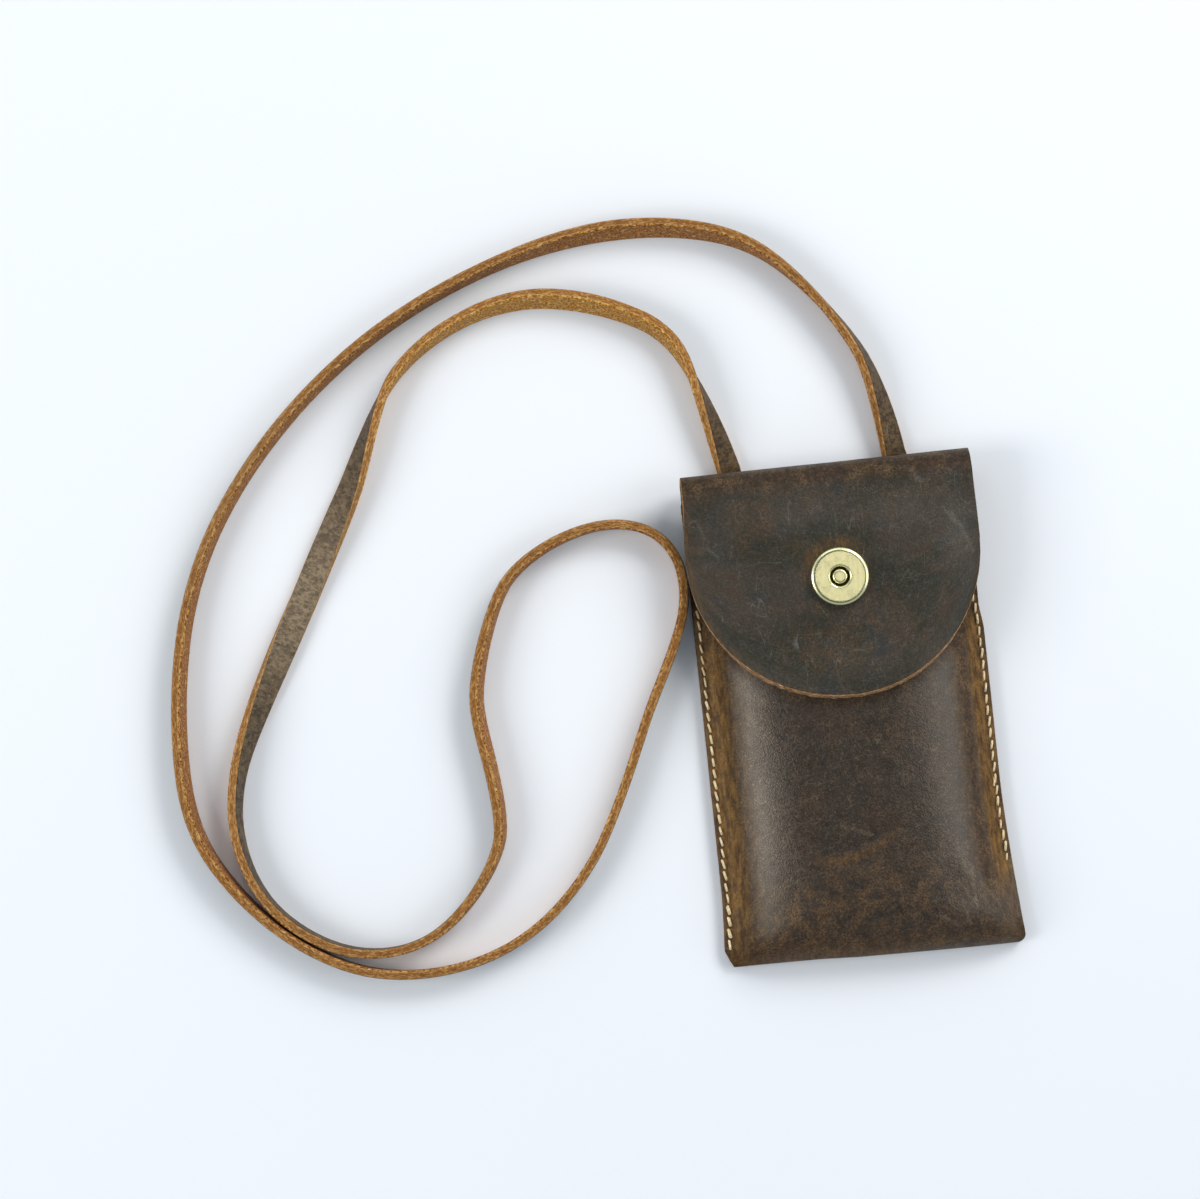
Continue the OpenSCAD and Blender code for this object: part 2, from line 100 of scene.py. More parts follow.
def new_object(name, data):
    made = bpy.data.objects.new(name, data)
    bpy.context.scene.collection.objects.link(made)
    return made


def make_camera():
    """Straight above the table, turned a little, with the photograph's frame."""
    data = bpy.data.cameras.new("camera")
    data.sensor_width = 36.0
    data.lens = 111.15
    data.clip_start, data.clip_end = 0.05, 20.0
    camera = new_object("camera", data)
    camera.location = (-0.083, 0.04675, 1.3)
    camera.rotation_euler = (0.0, 0.0, -math.radians(6.05))
    bpy.context.scene.camera = camera


make_camera()


# Node and mesh helpers

def fit(tree, made, inputs):
    """Sets a node's inputs, each to a value or to the output of a node or of several."""
    for key, value in inputs.items():
        socket = made.inputs[key] if isinstance(key, int) else next(
            s for s in made.inputs if s.enabled and s.name == key)
        for each in value if isinstance(value, list) and isinstance(value[0], bpy.types.Node) else [value]:
            if isinstance(each, bpy.types.Node):
                each = next(s for s in each.outputs if s.enabled)
            if isinstance(each, bpy.types.NodeSocket):
                tree.links.new(each, socket)
            else:
                socket.default_value = each


def add(tree, kind, inputs=None, **settings):
    """Adds a node with its settings and its inputs."""
    made = tree.nodes.new(kind)
    for name, value in settings.items():
        setattr(made, name, value)
    fit(tree, made, inputs or {})
    return made


def times(tree, a, b, plus=None):
    """Gives a times b, plus a third value where there is one."""
    if plus is None:
        return add(tree, "ShaderNodeMath", {0: a, 1: b}, operation="MULTIPLY")
    return add(tree, "ShaderNodeMath", {0: a, 1: b, 2: plus}, operation="MULTIPLY_ADD")


def spread(tree, value, low, high):
    """Spreads a value between 0 and 1 over the range from low to high."""
    return add(tree, "ShaderNodeMapRange", {"Value": value, "To Min": low, "To Max": high})


def cloud(tree, place, size, seed, stretch, turn, detail, rough):
    """Uneven cloud with parts about size millimetres across, from 0 to 1."""
    laid = add(tree, "ShaderNodeMapping", {"Vector": place, "Scale": stretch, "Rotation": (0, 0, turn)})
    return add(tree, "ShaderNodeTexNoise", {"Vector": laid, "W": seed, "Scale": 1000 / size,
                                            "Detail": detail, "Roughness": rough}, noise_dimensions="4D")


def patches(tree, place, size, low, high, seed, detail=4.0, stretch=(1, 1, 1), turn=0.0):
    """Mask of uneven patches about size millimetres across: 0 below low and 1 above high."""
    uneven = cloud(tree, place, size, seed, stretch, turn, detail, 0.6)
    return add(tree, "ShaderNodeMapRange", {"Value": uneven, "From Min": low, "From Max": high},
               interpolation_type="SMOOTHSTEP")


def hairlines(tree, place, size, width, seed, stretch, turn):
    """Mask of fine wandering lines, which follow the rims of uneven patches."""
    uneven = cloud(tree, place, size, seed, stretch, turn, 2.0, 0.5)
    off = add(tree, "ShaderNodeMath", {0: uneven, 1: 0.5}, operation="SUBTRACT")
    far = add(tree, "ShaderNodeMath", {0: off}, operation="ABSOLUTE")
    return add(tree, "ShaderNodeMapRange", {"Value": far, "From Max": width, "To Min": 1.0, "To Max": 0.0})


def dyed(tree, base, *coats):
    """Base colour with coats over it. A coat is one or more masks, and its colour last."""
    colour = linear(base) if isinstance(base, str) else base
    for *masks, shade in coats:
        strength = masks[0]
        for mask in masks[1:]:
            strength = times(tree, strength, mask)
        shade = linear(shade) if isinstance(shade, str) else shade
        colour = add(tree, "ShaderNodeMix", {"Factor": strength, "A": colour, "B": shade},
                     data_type="RGBA")
    return colour


def worked(tree, name, output="Fac"):
    """Strength of a mark, or a place, that is laid on the mesh by name."""
    return add(tree, "ShaderNodeAttribute", attribute_name=name).outputs[output]


def new_material(name):
    made = bpy.data.materials.new(name)
    made.use_nodes = True
    tree = made.node_tree
    return made, tree, tree.nodes["Principled BSDF"]


def build_mesh(name, points, faces, materials, face_materials=None, attributes=None, sharp=40.0):
    """Mesh object from points in millimetres, with float or vector attributes on its points."""
    mesh = bpy.data.meshes.new(name)
    mesh.from_pydata((np.asarray(points) * MM).tolist(), [], faces)
    for material in materials:
        mesh.materials.append(material)
    if face_materials is not None:
        mesh.polygons.foreach_set("material_index", np.asarray(face_materials, dtype=np.int32))
    for key, values in (attributes or {}).items():
        values = np.asarray(values, dtype=np.float32)
        kind, field = ("FLOAT_VECTOR", "vector") if values.ndim == 2 else ("FLOAT", "value")
        mesh.attributes.new(key, kind, "POINT").data.foreach_set(field, values.ravel())
    work = bmesh.new()
    work.from_mesh(mesh)
    bmesh.ops.recalc_face_normals(work, faces=work.faces)
    work.to_mesh(mesh)
    work.free()
    mesh.shade_smooth()
    mesh.set_sharp_from_angle(angle=math.radians(sharp))
    mesh.update()
    return new_object(name, mesh)


def baked(piece, modifier):
    """Mesh of a piece with its modifier worked in, without the modifier."""
    graph = bpy.context.evaluated_depsgraph_get()
    done = bpy.data.meshes.new_from_object(piece.evaluated_get(graph), preserve_all_data_layers=True,
                                           depsgraph=graph)
    piece.modifiers.remove(modifier)
    return done


def soft_waves(x, y, seed, length, count=6):
    """Slow uneven waves over a surface, from -1 to 1, for the give of worked leather."""
    draw = np.random.default_rng(seed)
    total = np.zeros_like(x)
    for _ in range(count):
        turn = draw.uniform(0, 2 * math.pi)
        size = length * draw.uniform(0.6, 1.6)
        start = draw.uniform(0, 2 * math.pi)
        total += np.sin((x * math.cos(turn) + y * math.sin(turn)) * 2 * math.pi / size + start)
    return total / count


# Materials. "place" is the place on the unbent hide in metres: across, along, and down into it

def waxed_hide(name, shades, fleck, rough, wax, seed):
    """Oiled and waxed pull-up cowhide: the wax darkens it in clouds, and bends and rubs draw the wax away,
    which shows as golden and grey marks over a fine satin grain. The dark fold coat is painted shade and
    shadow, and some pale scuff marks are painted highlights."""
    made, tree, skin = new_material(name)
    dark, mid, warm, cool, pale = shades
    place = worked(tree, "place", "Vector")
    # Grain that is 0.6 mm across, coarser than real, so that it shows
    grain = patches(tree, place, 0.6, 0.36, 0.66, seed + 1, 3.0)
    fine = patches(tree, place, 1.6, 0.42, 0.7, seed + 2, 5.0)
    rubbed = patches(tree, place, 6.0, 0.42, 0.68, seed + 3, 5.0)
    wear_and_arris_highlight = patches(tree, place, 5.0, 0.4, 0.62, seed + 4, 6.0)
    streaks = patches(tree, place, 1.6, 0.38, 0.62, seed + 5, 6.0, (1.0, 0.25, 1.0))
    colour = dyed(
        tree, dark,
        (patches(tree, place, 24.0, 0.38, 0.62, seed + 6, 4.0), mid),
        (patches(tree, place, 13.0, 0.47, 0.68, seed + 7, 5.0), 0.65, warm),
        (patches(tree, place, 16.0, 0.52, 0.7, seed + 8, 4.0), 0.6, cool),
        (grain, fine, fleck, pale),
        (grain, rubbed, 0.6 * fleck, pale),
        (patches(tree, place, 0.9, 0.56, 0.4, seed + 9, 3.0), 1.5 * fleck, "#0d0907"),
        (hairlines(tree, place, 9.0, 0.006, seed + 10, (1.0, 0.22, 1.0), 0.5), rubbed, 0.4, pale),
        (hairlines(tree, place, 7.0, 0.005, seed + 11, (0.2, 1.0, 1.0), 0.35), wear_and_arris_highlight, 0.3, pale),
        (worked(tree, "wear_and_arris_highlight"), wear_and_arris_highlight, 0.7, dyed(tree, "#3b2614", (grain, "#7a5830"))),
        (worked(tree, "pull"), 0.65, "#5e3f1c"),
        (worked(tree, "pull"), streaks, 0.75,
         dyed(tree, "#7f5824", (fine, "#9c7238"), (grain, 0.5, "#b58a4a"))),
        # Painted shade and shadow where the fold mark is laid: over the folds and valley creases and under
        # the flap's tip, with rubbed golden flecks
        (worked(tree, "fold"), 0.85,
         dyed(tree, "#1d1009", (fine, "#50331f"), (grain, 0.15, "#7c5c36"),
              (grain, rubbed, 0.7, "#8a683e"))),
        # Pale grain where the scuff mark is laid: real scuffs, and in a few places a painted highlight
        (worked(tree, "scuff_and_highlight"), spread(tree, grain, 0.35, 1.0), pale))
    satin = spread(tree, patches(tree, place, 4.0, 0.3, 0.7, seed + 12), rough - 0.04, rough + 0.06)
    # The wax gives the sheen, so the hide is drier and more matt where it is drawn away
    dry = times(tree, worked(tree, "fold"), 0.6, worked(tree, "pull"))
    dry = times(tree, worked(tree, "wear_and_arris_highlight"), 0.5, dry)
    height = times(tree, patches(tree, place, 3.2, 0.2, 0.8, seed + 13, 5.0), 0.9, grain)
    sheen, flecked = spread(tree, dry, wax, 0.3 * wax), spread(tree, grain, 0.92, 1.08)
    fit(tree, skin, {
        "Base Color": colour, "Specular Tint": (1.0, 0.875, 0.73, 1.0),
        "Specular IOR Level": times(tree, sheen, flecked),
        "Roughness": times(tree, dry, 0.2, satin),
        "Normal": add(tree, "ShaderNodeBump", {"Height": height, "Distance": 0.00005, "Strength": 0.8})})
    return made


def split_edge(name, dark, mid, pale, seed):
    """Cut edge of hide with an undyed tan core: matt, in loose layers of fibre. Where it is
    burnished it is sealed and nearly as dark as the face."""
    made, tree, skin = new_material(name)
    place = worked(tree, "place", "Vector")
    fibres = patches(tree, place, 0.8, 0.4, 0.62, seed, 3.0, (0.6, 0.6, 2.0))
    colour = dyed(
        tree, mid, (fibres, pale), (patches(tree, place, 5.0, 0.5, 0.7, seed + 1), 0.7, dark),
        # Painted shade on all but the last part of the strap, and where it lies flat a painted sheen with
        # rubbing
        (worked(tree, "painted_shade_run"), 0.3, "#6a3c14"), (worked(tree, "rub_and_sheen"), 0.6, "#a08460"),
        # Painted highlight along the arrises of the cut edge
        (worked(tree, "arris"), "#d09250"), (worked(tree, "arris"), fibres, "#f4cf98"),
        (worked(tree, "burnish"), 0.85, dyed(tree, "#3a261b", (fibres, "#5e4230"))))
    fit(tree, skin, {
        "Base Color": colour, "Roughness": 0.82, "Specular IOR Level": 0.3,
        "Normal": add(tree, "ShaderNodeBump", {"Height": fibres, "Distance": 0.0003})})
    return made


def flesh_side(name, dark, mid, pale, seed):
    """Flesh side of the hide: a short matt nap that shows as fine grains of light and dark."""
    made, tree, skin = new_material(name)
    place = worked(tree, "place", "Vector")
    # Nap clumps 0.8 mm across, coarser than real, so that they show
    nap = patches(tree, place, 0.8, 0.41, 0.6, seed, 3.0)
    tufts = patches(tree, place, 0.9, 0.54, 0.68, seed + 1, 3.0, (1.0, 0.6, 1.0))
    colour = dyed(
        tree, dark, (nap, mid), (tufts, 0.85, pale),
        (patches(tree, place, 11.0, 0.46, 0.7, seed + 2, 5.0), 0.3, dark),
        # Painted shade: darker, more orange flesh on all but the last part of the strap
        (worked(tree, "painted_shade_run"), 0.75, dyed(tree, "#6c380a", (nap, "#b86c1a"), (tufts, 0.85, "#f0b45c"))),
        # Painted highlight along the arrises
        (worked(tree, "arris"), nap, 0.7, pale))
    fit(tree, skin, {
        "Base Color": colour, "Roughness": 0.92, "Specular IOR Level": 0.2,
        "Sheen Weight": 0.15, "Sheen Roughness": 0.5,
        "Normal": add(tree, "ShaderNodeBump", {"Height": nap, "Distance": 0.0003})})
    return made


def strap_grain_side(name, dark, mid, pale, seed):
    """Grain side of the strap: waxed hide with fine wrinkles, paler where it lies flat, from rubbing and a
    painted sheen.
    """
    made, tree, skin = new_material(name)
    place = worked(tree, "place", "Vector")
    wrinkles = patches(tree, place, 1.1, 0.38, 0.64, seed, 4.0, (0.6, 1.0, 1.0), 0.25)
    colour = dyed(
        tree, dark, (patches(tree, place, 9.0, 0.34, 0.66, seed + 1), mid), (wrinkles, 0.5, pale),
        # Paler where the strap lies flat: rubbed wear and a painted sheen
        (worked(tree, "rub_and_sheen"), 0.6, "#7c6a54"), (worked(tree, "rub_and_sheen"), wrinkles, 0.6, "#ad987a"),
        (hairlines(tree, place, 14.0, 0.008, seed + 2, (1.0, 0.25, 1.0), 0.45),
         patches(tree, place, 18.0, 0.5, 0.6, seed + 3), 0.6, "#9c8660"))
    fit(tree, skin, {
        "Base Color": colour, "Roughness": 0.55, "Specular IOR Level": 0.25,
        "Normal": add(tree, "ShaderNodeBump", {"Height": wrinkles, "Distance": 0.0002})})
    return made


def waxed_thread(name):
    """Waxed linen thread: cream, slightly shiny, with the twist of its plies."""
    made, tree, skin = new_material(name)
    place = add(tree, "ShaderNodeTexCoord").outputs["Object"]
    plies = patches(tree, place, 0.6, 0.36, 0.64, 4.0, 2.0, (1.0, 0.45, 1.0), 0.6)
    stains = patches(tree, place, 3.0, 0.55, 0.7, 5.0)
    fit(tree, skin, {
        "Base Color": dyed(tree, "#e6c68c", (plies, "#fbe8c2"), (stains, 0.45, "#c99b5e")),
        "Normal": add(tree, "ShaderNodeBump", {"Height": plies, "Distance": 0.00015})})
    return made


def metal(name, clean, dull, rough, seed):
    """Turned or pressed metal: even, with faint polish lines and a few duller spots."""
    made, tree, skin = new_material(name)
    place = add(tree, "ShaderNodeTexCoord").outputs["Object"]
    stain = patches(tree, place, 3.5, 0.46, 0.72, seed)
    lines = patches(tree, place, 1.0, 0.3, 0.7, seed + 1, 2.0, (1.0, 0.15, 1.0), 0.7)
    wear = times(tree, lines, 0.5, stain)
    fit(tree, skin, {"Base Color": dyed(tree, clean, (stain, 0.12, dull)), "Metallic": 1.0,
                     "Roughness": spread(tree, wear, rough, rough + 0.04)})
    return made


def awl_hole_shade_material(name):
    """Awl hole: a flat dark disc that hardly returns any light, painted shade of the hole."""
    made, tree, skin = new_material(name)
    place = add(tree, "ShaderNodeTexCoord").outputs["Object"]
    crush = patches(tree, place, 0.8, 0.3, 0.7, 2.0)
    fit(tree, skin, {"Base Color": dyed(tree, "#1c130e", (crush, "#3a271c")), "Roughness": 0.9})
    return made


flap_hide = waxed_hide("waxed_pull_up_cowhide_dark",
                       ("#24261e", "#3b352d", "#453327", "#1f2a34", "#827c70"), 0.2, 0.5, 0.4, 0.0)
front_hide = waxed_hide("waxed_pull_up_cowhide_brown",
                        ("#150e0b", "#231712", "#382417", "#1b1417", "#7e6a52"), 0.36, 0.34, 1.0, 30.0)
edge_tan = split_edge("split_hide_edge_tan", "#6e462a", "#9c6d43", "#cba073", 50.0)
flesh_tan = flesh_side("hide_flesh_side", "#6f4d2c", "#8e6539", "#ab8150", 55.0)
strap_grain = strap_grain_side("strap_hide_grain_side", "#2c2015", "#44331f", "#866a42", 60.0)
strap_flesh = flesh_side("strap_hide_flesh_side", "#9a5c10", "#e8a63a", "#ffd88a", 65.0)
strap_edge = split_edge("strap_hide_cut_edge", "#6a3c12", "#9c6024", "#dca258", 70.0)
thread = waxed_thread("waxed_linen_thread_cream")
hole_dark = awl_hole_shade_material("awl_hole_painted_shade")
brass = metal("pale_brass_polished", "#f7efb6", "#ddd494", 0.24, 80.0)
# Dark brass for the well of the snap's cover: painted shade in the recess
brass_well_shade = metal("brass_painted_well_shade", "#4a4026", "#2b2514", 0.45, 83.0)
nickel = metal("nickel_plated_steel", "#b9b8b4", "#8f8e8a", 0.22, 86.0)
ferrite = metal("nickel_plated_magnet", "#8f8f91", "#6c6c6e", 0.3, 89.0)


# Strap

STRAP_W, STRAP_T, STRAP_END_T = 9.5, 3.2, 2.0
STRAP_X, IN_Z, UNDER_Z = 29.0, 5.45, 1.05

# Free run from the right end round to the left end: x, y and roll of the grain side
STRAP_ROUTE = [
    (24.5, 87, 26), (17, 121.5, 72), (-5.5, 154, 91), (-30.5, 170, 108), (-68, 174.5, 115),
    (-109, 166.5, 101), (-151, 147.5, 99), (-187, 119.5, 99), (-214.5, 85, 99),
    (-229.5, 47.5, 100), (-234.5, 2.5, 101), (-228, -28.5, 97), (-206, -57, 91), (-177.5, -74, 88),
    (-145.5, -76, 85), (-116, -64.5, 87), (-91.5, -38.5, 88), (-70, 6, 90), (-55, 38, 90),
    (-55.5, 59.5, 90), (-68.5, 71, 90), (-90.5, 70.5, 93), (-115.5, 55.5, 96), (-129, 21, 102),
    (-128, -2, 102), (-126.5, -32.5, 98), (-142.5, -56.5, 94), (-163, -67.5, 93),
    (-186.5, -65, 90), (-208, -48.5, 88), (-217.5, -23, 82), (-212.5, 7, 67), (-189.5, 51.5, 8),
    (-165.5, 95, -42), (-148, 130, -92), (-122, 148.5, -104), (-92.5, 153.5, -117),
    (-61.5, 144, -112), (-45, 127, -98), (-33.5, 87, -26)]


def smoothed(points, rounds):
    """Puts a point halfway between each two on a smooth curve, again and again."""
    for _ in range(rounds):
        last = len(points) - 1
        finer = []
        for k in range(last):
            a, b = points[max(0, k - 1)], points[k]
            c, d = points[k + 1], points[min(last, k + 2)]
            finer += [b, (9 * (b + c) - a - d) / 16]
        points = finer + [points[last]]
    return points


def lying_z(roll, thick):
    turn = math.radians(roll)
    return 0.05 + (STRAP_W * abs(math.sin(turn)) + thick * abs(math.cos(turn))) / 2


def strap_line():
    """Rings of the whole strap, each a centre, roll in degrees and thickness."""
    free = [(x, y, lying_z(roll, STRAP_T), roll, STRAP_T)
            for x, y, roll in smoothed([np.array(p, float) for p in STRAP_ROUTE], 3)]

    def end(side, lean):
        x = side * STRAP_X
        inside = [(45.0, IN_Z), (51.0, IN_Z), (57.0, IN_Z), (58.5, IN_Z), (60.2, 4.9), (62.0, 3.25),
                  (63.8, 1.6), (65.5, UNDER_Z)]
        return ([(x, y, z, 0.0, STRAP_END_T) for y, z in inside]
                + [(x + lean * 0.5, 71.5, UNDER_Z, 0.0, STRAP_END_T),
                   (x + lean, FOLD_Y, UNDER_Z, 0.0, STRAP_END_T),
                   (x + lean * 1.3, FOLD_Y + 5, lying_z(5, 2.3), side * 5.0, 2.3)])

    first, last = end(1, -2.4), end(-1, -3.0)[::-1]
    return first + free + last, len(first), len(first) + len(free)


def strap_section(width, thick):
    """Points of the strap's section, across and through, with the part each belongs to (0 grain side, 1
    cut edge, 2 flesh side) and how much it is an arris, which gets a painted highlight."""
    w, t = width / 2, thick / 2
    r = 0.42 * t
    edge = [(w - 0.4 * r, t - 0.2 * r, 0, 0.3), (w - 0.05 * r, t - 0.9 * r, 1, 0.2),
            (w + 0.04, 0.33 * t, 1, 0.0), (w + 0.04, -0.33 * t, 1, 0.0),
            (w - 0.05 * r, -t + 0.9 * r, 2, 0.5), (w - 0.4 * r, -t + 0.2 * r, 2, 0.35)]
    across = np.linspace(-1, 1, 7) * (w - r)
    return ([(a, t, 0, 0.0) for a in across] + edge + [(a, -t, 2, 0.0) for a in across[::-1]]
            + [(-a, b, part, wear_and_arris_highlight) for a, b, part, wear_and_arris_highlight in edge[::-1]])


def make_strap():
    rings, free_start, free_end = strap_line()
    centres = np.array([r[:3] for r in rings])
    runs = unit(np.gradient(centres, axis=0))
    along = along_of(centres)
    # The strap is trimmed narrower where it leaves the pouch
    to_exit = np.minimum(abs(along - along[free_start]), abs(along - along[free_end - 1]))
    uneven = 0.12 * np.sin(along / 23) + 0.07 * np.sin(along / 7.1)
    widths = STRAP_W * (1 - 0.11 * bell(to_exit, 34.0)) + uneven
    # Where it lies flat and faces up its grain side is paler: rubbed wear and a painted sheen
    rub_and_sheen = bell(centres[:, 0] + 187, 26.0) * bell(centres[:, 1] - 62, 52.0)
    draw = np.random.default_rng(5)
    # Painted shade and light: the flesh side and cut edge are darker and more orange on all but the last
    # part, which turns its flesh side up and keeps the paler colour
    painted_shade_run = 1 - ease((along / along[-1] - 0.7) / 0.1)
    points, places, arris, faces, kinds = [], [], [], [], []
    section = strap_section(STRAP_W, STRAP_T)
    sides = len(section)
    for k, (x, y, z, roll, thick) in enumerate(rings):
        right = unit(np.cross(runs[k], (0, 0, 1.0)))
        up = np.cross(right, runs[k])
        turn = math.radians(roll)
        grain = math.cos(turn) * up + math.sin(turn) * right
        side = math.cos(turn) * right - math.sin(turn) * up
        for a, b, part, wear_and_arris_highlight in strap_section(widths[k], thick):
            fray = 0.04 * draw.normal() if part == 1 else 0.0
            points.append(centres[k] + (a + fray) * side + b * grain)
            places.append((a * MM, along[k] * MM, b * MM))
            arris.append(wear_and_arris_highlight)
    for k in range(len(rings) - 1):
        for s in range(sides):
            n = (s + 1) % sides
            faces.append((k * sides + s, k * sides + n, (k + 1) * sides + n, (k + 1) * sides + s))
            kinds.append(section[s][2] if section[s][2] == section[n][2] else 1)
    faces += [tuple(range(sides)), tuple((len(rings) - 1) * sides + s for s in reversed(range(sides)))]
    # Masks: the painted highlight on the arrises, the painted sheen with rubbing where it lies flat, and
    # the painted shade of all but the last part
    marks = {"place": places, "arris": arris, "rub_and_sheen": np.repeat(rub_and_sheen, sides),
             "painted_shade_run": np.repeat(painted_shade_run, sides)}
    piece = build_mesh("strap_strip", points, faces, [strap_grain, strap_edge, strap_flesh],
                       kinds + [1, 1], marks, sharp=50.0)
    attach(piece, "pouch")
    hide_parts("strap")


make_strap()


# Shapes of the hide

def lift(y):
    return RISE * ease((y - RISE_START) / RISE_L)


def half_w(y, side):
    """Half the width of the body at y, where side is below 0 on the left."""
    d = y - BOTTOM_Y
    left, right = (BODY_HALF[k] + FLARE[k] * np.clip(1 - d / FLARE_L[k], 0, None) ** 1.6
                   - CORNER_CUT[k] * np.clip(1 - d / CUT_L[k], 0, None) ** CUT_POWER[k] for k in (0, 1))
    # The top right is drawn in under the flap
    return np.where(np.asarray(side) < 0, left, right - 1.1 * ease((y - 22) / 10))


def hang(x, y):
    """How far the bottom of the pouch lies lower, which is more and more towards its right."""
    return -(0.35 + 0.4 * ease((x + 22) / 18) + 1.25 * ease((x + 50) / 100)) * ease((-60 - y) / 26)


def crown(y):
    seat = PUFF_H - (PUFF_H - SEAT_H) * ease((y - SNAP_Y + SEAT_HALF + CROWN_RUN) / CROWN_RUN)
    mouth_run = MOUTH_Y - SNAP_Y - SEAT_HALF
    mouth = SEAT_H - (SEAT_H - MOUTH_H) * ease((y - SNAP_Y - SEAT_HALF) / mouth_run)
    return np.where(y < SNAP_Y + SEAT_HALF, seat, mouth)


# Share of the full puff over the share of the half width, with the crease at the flange softened
BEND_SHARE = 0.038
puff_shares = np.linspace(-0.4, 1.6, 1001)
bend_steps = np.arange(-60, 61) * (puff_shares[1] - puff_shares[0])
bend_weights = bell(bend_steps, 1.414 * BEND_SHARE)
bend_weights /= bend_weights.sum()
puff_hard = np.clip(1 - np.abs(puff_shares) ** 3.2, 0, None) ** 0.72
puff_soft = np.convolve(np.pad(puff_hard, 60, mode="edge"), bend_weights, mode="valid")


def puff(share):
    return np.interp(np.abs(share), puff_shares, puff_soft)


def grid_normals(grid):
    return unit(np.cross(np.gradient(grid, axis=1), np.gradient(grid, axis=0)))


def loop_of(rows, cols):
    """Rows and columns of the points round the rim of a grid."""
    loop = ([(0, c) for c in range(cols)] + [(r, cols - 1) for r in range(1, rows)]
            + [(rows - 1, c) for c in range(cols - 2, -1, -1)] + [(r, 0) for r in range(rows - 2, 0, -1)])
    return np.array(loop).T


# Across a cut edge: share of its reach outwards and share of the thickness down
EDGE_ROUND = [(0.22, 0.012), (0.4, 0.06), (0.55, 0.16), (0.8, 0.45), (0.96, 0.72), (1.0, 0.86),
              (0.9, 0.96), (0.7, 1.0)]


def hide_piece(name, outer, inner, normals, place, marks, reach, burnish, materials, fray):
    """Closed piece of hide: its outer and inner faces and a rounded cut edge, which stands
    beyond the rim of the grids by its reach. marks are masks on the outer face."""
    rows, cols = outer.shape[:2]
    count = rows * cols
    r, c = loop_of(rows, cols)
    rim, down = outer[r, c], (inner - outer)[r, c]
    out = unit(np.cross(np.roll(rim, -1, axis=0) - np.roll(rim, 1, axis=0), normals[r, c]))
    if ((rim - outer.reshape(-1, 3).mean(axis=0)) * out).sum() < 0:
        out = -out
    edge_reach = reach[r, c] * (1 + fray * np.random.default_rng(17).normal(0, 1, len(r)))
    thick = np.linalg.norm(outer - inner, axis=2)
    points = [outer.reshape(-1, 3), inner.reshape(-1, 3)]
    places = [place.reshape(-1, 3), (place - thick[:, :, None] * [0, 0, 1]).reshape(-1, 3)]
    masks = {key: [value.ravel(), 0 * value.ravel()] for key, value in marks.items()}
    for f, g in EDGE_ROUND:
        points.append(rim + out * (edge_reach * f)[:, None] + down * g)
        depth = np.linalg.norm(down, axis=1) * g + edge_reach * f
        places.append(place[r, c] - depth[:, None] * [0, 0, 1])
        for key, value in marks.items():
            masks[key].append(value[r, c] * (f < 0.3))
    grid = np.arange(count).reshape(rows, cols)
    quads = np.stack([grid[:-1, :-1], grid[:-1, 1:], grid[1:, 1:], grid[1:, :-1]], -1).reshape(-1, 4)
    faces = [quads, quads[:, ::-1] + count]
    kinds = [np.zeros(len(quads), int), np.ones(len(quads), int)]
    rings = ([grid[r, c]] + [2 * count + k * len(r) + np.arange(len(r)) for k in range(len(EDGE_ROUND))]
             + [grid[r, c] + count])
    for k, (a, b) in enumerate(zip(rings, rings[1:])):
        faces.append(np.stack([a, b, np.roll(b, -1), np.roll(a, -1)], -1))
        kinds.append(np.full(len(r), 0 if k == 0 else 1 if k == len(rings) - 2 else 2))
    attributes = {key: np.concatenate(value) for key, value in masks.items()}
    attributes["place"] = np.concatenate(places) * MM
    attributes["burnish"] = np.concatenate([np.zeros(2 * count), np.tile(burnish[r, c], len(EDGE_ROUND))])
    points = np.concatenate(points)
    points[:, 1] += hang(points[:, 0], points[:, 1])
    return build_mesh(name, points, np.concatenate(faces).tolist(), materials, np.concatenate(kinds),
                      attributes, sharp=60.0)


def scratches(x, y, width, *lines):
    """Mask of short straight scratches, each from one place to another."""
    total = np.zeros_like(x)
    for x0, y0, x1, y1 in lines:
        dx, dy = x1 - x0, y1 - y0
        t = np.clip(((x - x0) * dx + (y - y0) * dy) / (dx * dx + dy * dy), 0, 1)
        total = np.maximum(total, bell(np.hypot(x - x0 - t * dx, y - y0 - t * dy), width))
    return total


def spots(x, y, *rows):
    """Soft spots, each given as strength, middle across and along, and size across and along."""
    return sum(k * bell(x - cx, wide) * bell(y - cy, long) for k, cx, cy, wide, long in rows)


FLAP_SCRATCHES = [(38, 66, 44, 58), (41, 64, 46, 54), (43.5, 60, 47, 50), (-47, 70, -45, 64),
                  (-44, 60, -41, 57)]
FRONT_SCRATCHES = [(30, -63, 35.5, -71), (35, -60, 36, -72), (38, -64, 44, -72), (31, -70, 33, -77),
                   (24, -74, 30, -78), (-8, -40, 2, -44)]


# Back, top fold and flap

